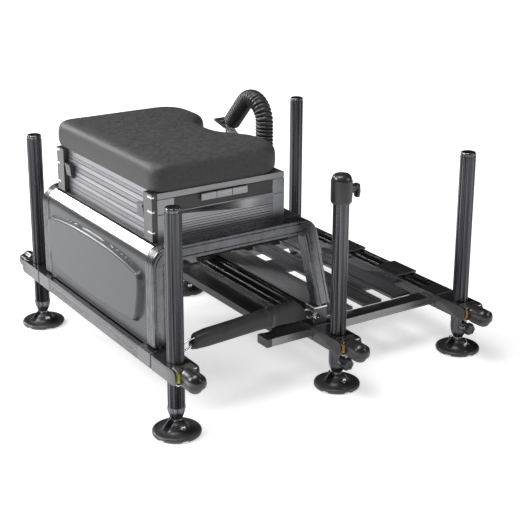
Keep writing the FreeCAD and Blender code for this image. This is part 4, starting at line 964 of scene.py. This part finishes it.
# Carrying handle: a black ribbed hose slipped over pale webbing, which leaves the
# hose's left end through a ladder buckle and goes down in front of the cushion.
hose_x = 2.5
hose_y = -28.5
hose_bend = 48.0
hose_arc_z = 547.0
hose_foot_z = 430.0
hose_turn = math.radians(136)
hose_tail = 81.0
hose_peak = 20.5
hose_valley = 16.6
hose_bore = 12.8
hose_ribs = 38
outside_share = 0.9
hose_rise = hose_arc_z - hose_foot_z
hose_long = hose_rise + hose_bend * hose_turn + hose_tail


def handle_at(distance):
    """The point and heading of the handle's centreline at a distance along it."""
    centre = Vector((hose_x, hose_y, hose_arc_z))
    if distance <= hose_rise:
        return Vector((hose_x, hose_y - hose_bend, hose_foot_z + distance)), Vector((0, 0, 1))
    turn = min(hose_turn, (distance - hose_rise) / hose_bend)
    angle = math.pi - turn
    heading = Vector((0, math.sin(angle), -math.cos(angle)))
    point = centre + Vector((0, hose_bend * math.cos(angle), hose_bend * math.sin(angle)))
    return point + heading * max(0.0, distance - hose_rise - hose_bend * hose_turn), heading


def hose_point(u, v):
    """A point of the hose's skin; the last tenth of v runs back inside its bore."""
    angle = 2 * math.pi * u
    if v <= outside_share:
        share = v / outside_share
        wave = abs(math.sin(math.pi * share * hose_ribs)) ** 0.55
        radius = hose_valley + (hose_peak - hose_valley) * wave
    else:
        share = 1 - (v - outside_share) / (1 - outside_share)
        radius = hose_bore
    point, heading = handle_at(share * hose_long)
    across = Vector((1, 0, 0))
    up = heading.cross(across)
    return point + (across * math.cos(angle) + up * math.sin(angle)) * radius


def swept(name, around, stations, section):
    """A closed skin along stations of point, across and up; section(angle, share) gives the offsets."""
    last = len(stations) + 1

    def place(u, v):
        row = round(v * last)
        index = min(max(row - 1, 0), len(stations) - 1)
        point, across, up = stations[index]
        if row in (0, last):
            return point
        side, rise = section(2 * math.pi * u, index / (len(stations) - 1))
        return point + across * side + up * rise

    return wrapped(name, around, last, place)


def rounded_box(angle, half_wide, half_tall, power):
    """A rounded rectangle's offsets at an angle."""
    across = math.copysign(abs(math.cos(angle)) ** power, math.cos(angle)) * half_wide
    up = math.copysign(abs(math.sin(angle)) ** power, math.sin(angle)) * half_tall
    return across, up


def weave(pitch, ink):
    """A faint chequer of threads across the band's width and height."""
    def lines(nodes, links):
        result = calculator(nodes, links)
        place = own_axes(nodes, links, "Object")
        turn = 2 * math.pi / (pitch * MM)
        waves = [result("SINE", result("MULTIPLY", place[axis], turn)) for axis in "XZ"]
        faint = result("MULTIPLY", result("MULTIPLY", *waves), 0.3)
        faint.node.use_clamp = True
        return faint, ink
    return lines


hose_plastic = finish("hose_plastic", (0.014, 0.014, 0.015), (0.026, 0.026, 0.027), 0.38, broad=40)
hose = wrapped("handle_hose_ribs", 40, 400, hose_point)
paint_with(stands_for(hose, "handle_hose"), hose_plastic)

web_half = 12.4
web_thick = 1.2
web_left = hose_y + hose_bend * 1.85
lug_z = 350.2
along_x = Vector((1, 0, 0))
web_stations = []
for z in (lug_z, 380, 405, 430):
    web_stations.append((Vector((hose_x, hose_y - hose_bend, z)), along_x, Vector((0, 1, 0))))
for step in range(1, 31):
    point, heading = handle_at(hose_long * step / 30)
    web_stations.append((point, along_x, heading.cross(along_x)))
end_point, end_heading = handle_at(hose_long)
first_turn = math.atan2(end_heading.z, end_heading.y)
for share, ahead, drop in ((0.3, 7, 10), (0.6, 9, 22), (0.85, 6, 36)):
    turn = first_turn + (-math.pi / 2 - first_turn) * share
    heading = Vector((0, math.cos(turn), math.sin(turn)))
    point = end_point + Vector((0, ahead, -drop))
    web_stations.append((point, along_x, heading.cross(along_x)))
for z in (end_point.z - 60, 400, lug_z):
    web_stations.append((Vector((hose_x, web_left, z)), along_x, Vector((0, -1, 0))))
web_cloth = finish(
    "web_cloth", (0.55, 0.55, 0.54), (0.72, 0.72, 0.71), 0.7, broad=60, bump=0.3,
    lines=weave(2.4, (0.2, 0.2, 0.2)),
)


def web_section(angle, share):
    """The flat section of the webbing, the same all along."""
    return rounded_box(angle, web_half, web_thick, 0.4)


webbing = swept("handle_webbing_band", 24, web_stations, web_section)
paint_with(stands_for(webbing, "handle_webbing"), web_cloth)
loose_end = []
for spot in ((2.5, 106, 515), (2.5, 92, 514), (4, 76, 505), (6, 62, 494), (7, 53, 487)):
    loose_end.append((Vector(spot), along_x, Vector((0, -0.5, 0.87))))
loose_band = swept("webbing_loose_end", 24, loose_end, web_section)
paint_with(rides(loose_band, "handle_webbing"), web_cloth)
buckle = finished("handle_buckle", 0.9, 3)
buckle_middle = Vector((2.5, 92, 515)) * MM
buckle_lift = 20
buckle_turn = Matrix.Rotation(math.radians(buckle_lift), 4, "X")
buckle.data.transform(Matrix.Translation(buckle_middle) @ buckle_turn @ Matrix.Translation(-buckle_middle))
paint_with(buckle, knob_plastic)


# Shoulder strap: padded black nylon along the near side, with a ridge that widens
# toward the front, a seam and a keeper band, held by a bright shackle at each end.
strap_y = -292.5
strap_half = 15.0
strap_rear = -320.5
strap_front = -32.5
strap_long = strap_front - strap_rear
strap_low = 155.0
strap_rows = (
    (0.0, -1, 14, 0.6), (0.035, -2, 32, 0.9), (0.12, -2, 37, 1.0), (0.35, 1, 38, 1.0), (0.55, 4, 40, 1.0),
    (0.75, 4, 44, 1.0), (0.90, 2, 48, 1.0), (0.965, 2, 36, 0.85), (1.0, 2, 12, 0.55),
)
eased_rows = (0.0, 0.9, 0.965)
ridge_slope = 0.32


def strap_size(share):
    """Lift, height and fill of the strap at a share of its length."""
    for one, two in zip(strap_rows, strap_rows[1:]):
        if share <= two[0] + 1e-6:
            part = (share - one[0]) / (two[0] - one[0])
            if one[0] in eased_rows:
                part = part * part * (3 - 2 * part)
            return [one[k] + (two[k] - one[k]) * part for k in (1, 2, 3)]
    return list(strap_rows[-1][1:])


def strap_section(angle, share):
    """A flat-bottomed section whose top slopes to a ridge on the far side."""
    lift, tall, fill = strap_size(share)
    side, rise = rounded_box(angle, strap_half * fill, tall / 2, 0.6)
    slope = ridge_slope * (rise > 0) * min(1, share * 1.4 + 0.2)
    return side, rise * (1 - slope * (0.5 - 0.5 * side / (strap_half * fill)))


def strap_station(x):
    """The strap's middle at a place along it, with the axes of its section."""
    lift, tall, fill = strap_size((x - strap_rear) / strap_long)
    return Vector((x, strap_y, strap_low + lift + tall / 2)), Vector((0, 1, 0)), Vector((0, 0, 1))


strap_steps = 80
strap_stations = []
for step in range(strap_steps + 1):
    strap_stations.append(strap_station(strap_rear + strap_long * step / strap_steps))
nylon = finish(
    "nylon", (0.02, 0.02, 0.021), (0.036, 0.036, 0.037), 0.5, broad=30, fine=1400, bump=0.3, edge_glint=0.1,
)
strap = swept("shoulder_strap_pad", 48, strap_stations, strap_section)
paint_with(stands_for(strap, "shoulder_strap"), nylon)
for name, middle, half_long, proud in (("strap_keeper", -123.5, 4.5, 1.2), ("strap_seam", -141.5, 0.7, 0.5)):
    stations = [strap_station(middle + half_long * part) for part in (-1, -0.9, 0.9, 1)]
    start = (middle - half_long - strap_rear) / strap_long
    long = 2 * half_long / strap_long

    def band_section(angle, share, start=start, long=long, proud=proud):
        side, rise = strap_section(angle, start + long * share)
        return side + math.copysign(proud, math.cos(angle)), rise + math.copysign(proud, math.sin(angle))

    paint_with(rides(swept(name, 48, stations, band_section), "shoulder_strap"), knob_plastic)


bow_half = 8
bow_rod = 2.6
pin_out = 8
pin_rows = [
    (0, 0), (3.2, 0), (3.2, 9), (6.2, 9.2), (6.8, 10), (6.8, 12.2), (6, 13.2), (3.4, 13.4), (3, 12.6),
    (0, 12.6),
]


def ring_along(name, points, radius):
    """A round rod bent into a ring through points in millimetres."""
    def rod(angle, share):
        return radius * math.cos(angle), radius * math.sin(angle)

    stations = []
    for index, point in enumerate(points):
        heading = points[(index + 1) % len(points)] - points[index - 1]
        across = heading.cross(Vector((0, 1, 0.2))).normalized()
        stations.append((point, across, heading.cross(across).normalized()))
    stations.append(stations[0])
    return swept(name, 12, stations, rod)


def shackle(name, pin, far_end):
    """An oval bow from a cross pin up to the strap, with the pin's round head outward."""
    one, two = Vector(pin), Vector(far_end)
    long = (two - one).normalized()
    wide = long.cross(Vector((0, 1, 0))).normalized()
    half = (two - one).length / 2
    bow = []
    for step in range(32):
        angle = 2 * math.pi * step / 32
        bow.append((one + two) / 2 + long * math.cos(angle) * half + wide * math.sin(angle) * bow_half)
    head = turned("pin_head", pin_rows, 28, outward=True)
    head.data.transform(Matrix.Translation((one + Vector((0, pin_out, 0))) * MM))
    return joined(name, [ring_along(name, bow, bow_rod), head])


shackles = joined("strap_shackles_pair", [
    shackle("rear_shackle", (-350, -297, 156), (-312, -296, 176)),
    shackle("front_shackle", (-4, -297, 158), (-40, -297, 176)),
])
paint_with(stands_for(shackles, "strap_shackles"), bright_plate)


# Footplate: dark ribbed slats on two cross plates between the beams, with slide
# rails at the sides, tread plates over the front beam and plastic end caps.
slat_start = 63.5
slat_metal = finish(
    "slat_metal", (0.022, 0.022, 0.024), (0.07, 0.07, 0.074), 0.36, metallic=0.85, broad=120,
    along=(1, 0.03, 1), edge_glint=0.6, lines=stripes("X", 13.6, 0.08, "Y", slat_start),
)
pale_slat = finish(
    "pale_slat", (0.07, 0.07, 0.074), (0.17, 0.17, 0.175), 0.36, metallic=0.85, broad=120,
    along=(1, 0.03, 1), edge_glint=0.6, lines=stripes("X", 8.2, 0.14, "Y", slat_start),
)
# Slide metal: painted shade on the faces that look up (level) and a painted highlight on sharp edges.
slide_metal = finish(
    "slide_metal", (0.05, 0.05, 0.053), (0.14, 0.14, 0.145), 0.3, metallic=0.9, broad=120,
    along=(0.03, 1, 1), edge_glint=0.6, level=0.6,
)
paint_with(finished("slide_rails", 0.9), slide_metal)
slat_reach = Matrix.Scale(1.04, 4, (0, 1, 0))
for node, paint in (("deck_slat_rear", pale_slat), ("deck_slats", slat_metal)):
    slats = paint_with(finished(node, 0.3), paint)
    slats.data.transform(slat_reach)
paint_with(finished("cross_plates", 0.6), slat_metal)
paint_with(finished("tread_plates", 1.2, 3), slat_metal)
for side in SIDES:
    cap = side_box(f"slide_cap_{side}", side, (-118, -104), (233.4, 273.4), (97.4, 117.8), 1.6)
    paint_with(rides(cap, "slide_rails"), knob_plastic)


# Accessory collar: a black moulded ring on the near middle leg, with a boss and a
# wing screw on its front side.
collar_rows = [
    (0, 489), (12, 489), (15.5, 488), (18.6, 485.4), (20.8, 481.6), (22, 477.6), (22.4, 475.2), (23.4, 474.6),
    (23.5, 473.4), (23.5, 432), (23, 428), (21.4, 425.4), (18.4, 425.2), (18.2, 440),
]
collar_boss_rows = [(0, 0), (11.5, 0), (11.5, 27), (10.6, 30.6), (9.4, 31.3), (0, 31.4)]
wing_z = 453
collar = turned("collar", collar_rows, 64)
boss = turned("collar_boss", collar_boss_rows, 40, outward=True)
boss.data.transform(Matrix.Translation((0, 0, wing_z * MM)) @ Matrix.Rotation(math.pi / 2, 4, "Z"))
collar_master = joined("collar_master", [collar, boss])
piece = corner_copy(collar_master, "accessory_collar_ring", "middle", "near")
paint_with(stands_for(piece, "accessory_collar"), knob_plastic)
bpy.data.objects.remove(collar_master)
paint_with(finished("wing_screw", 1.2, 3), knob_plastic)
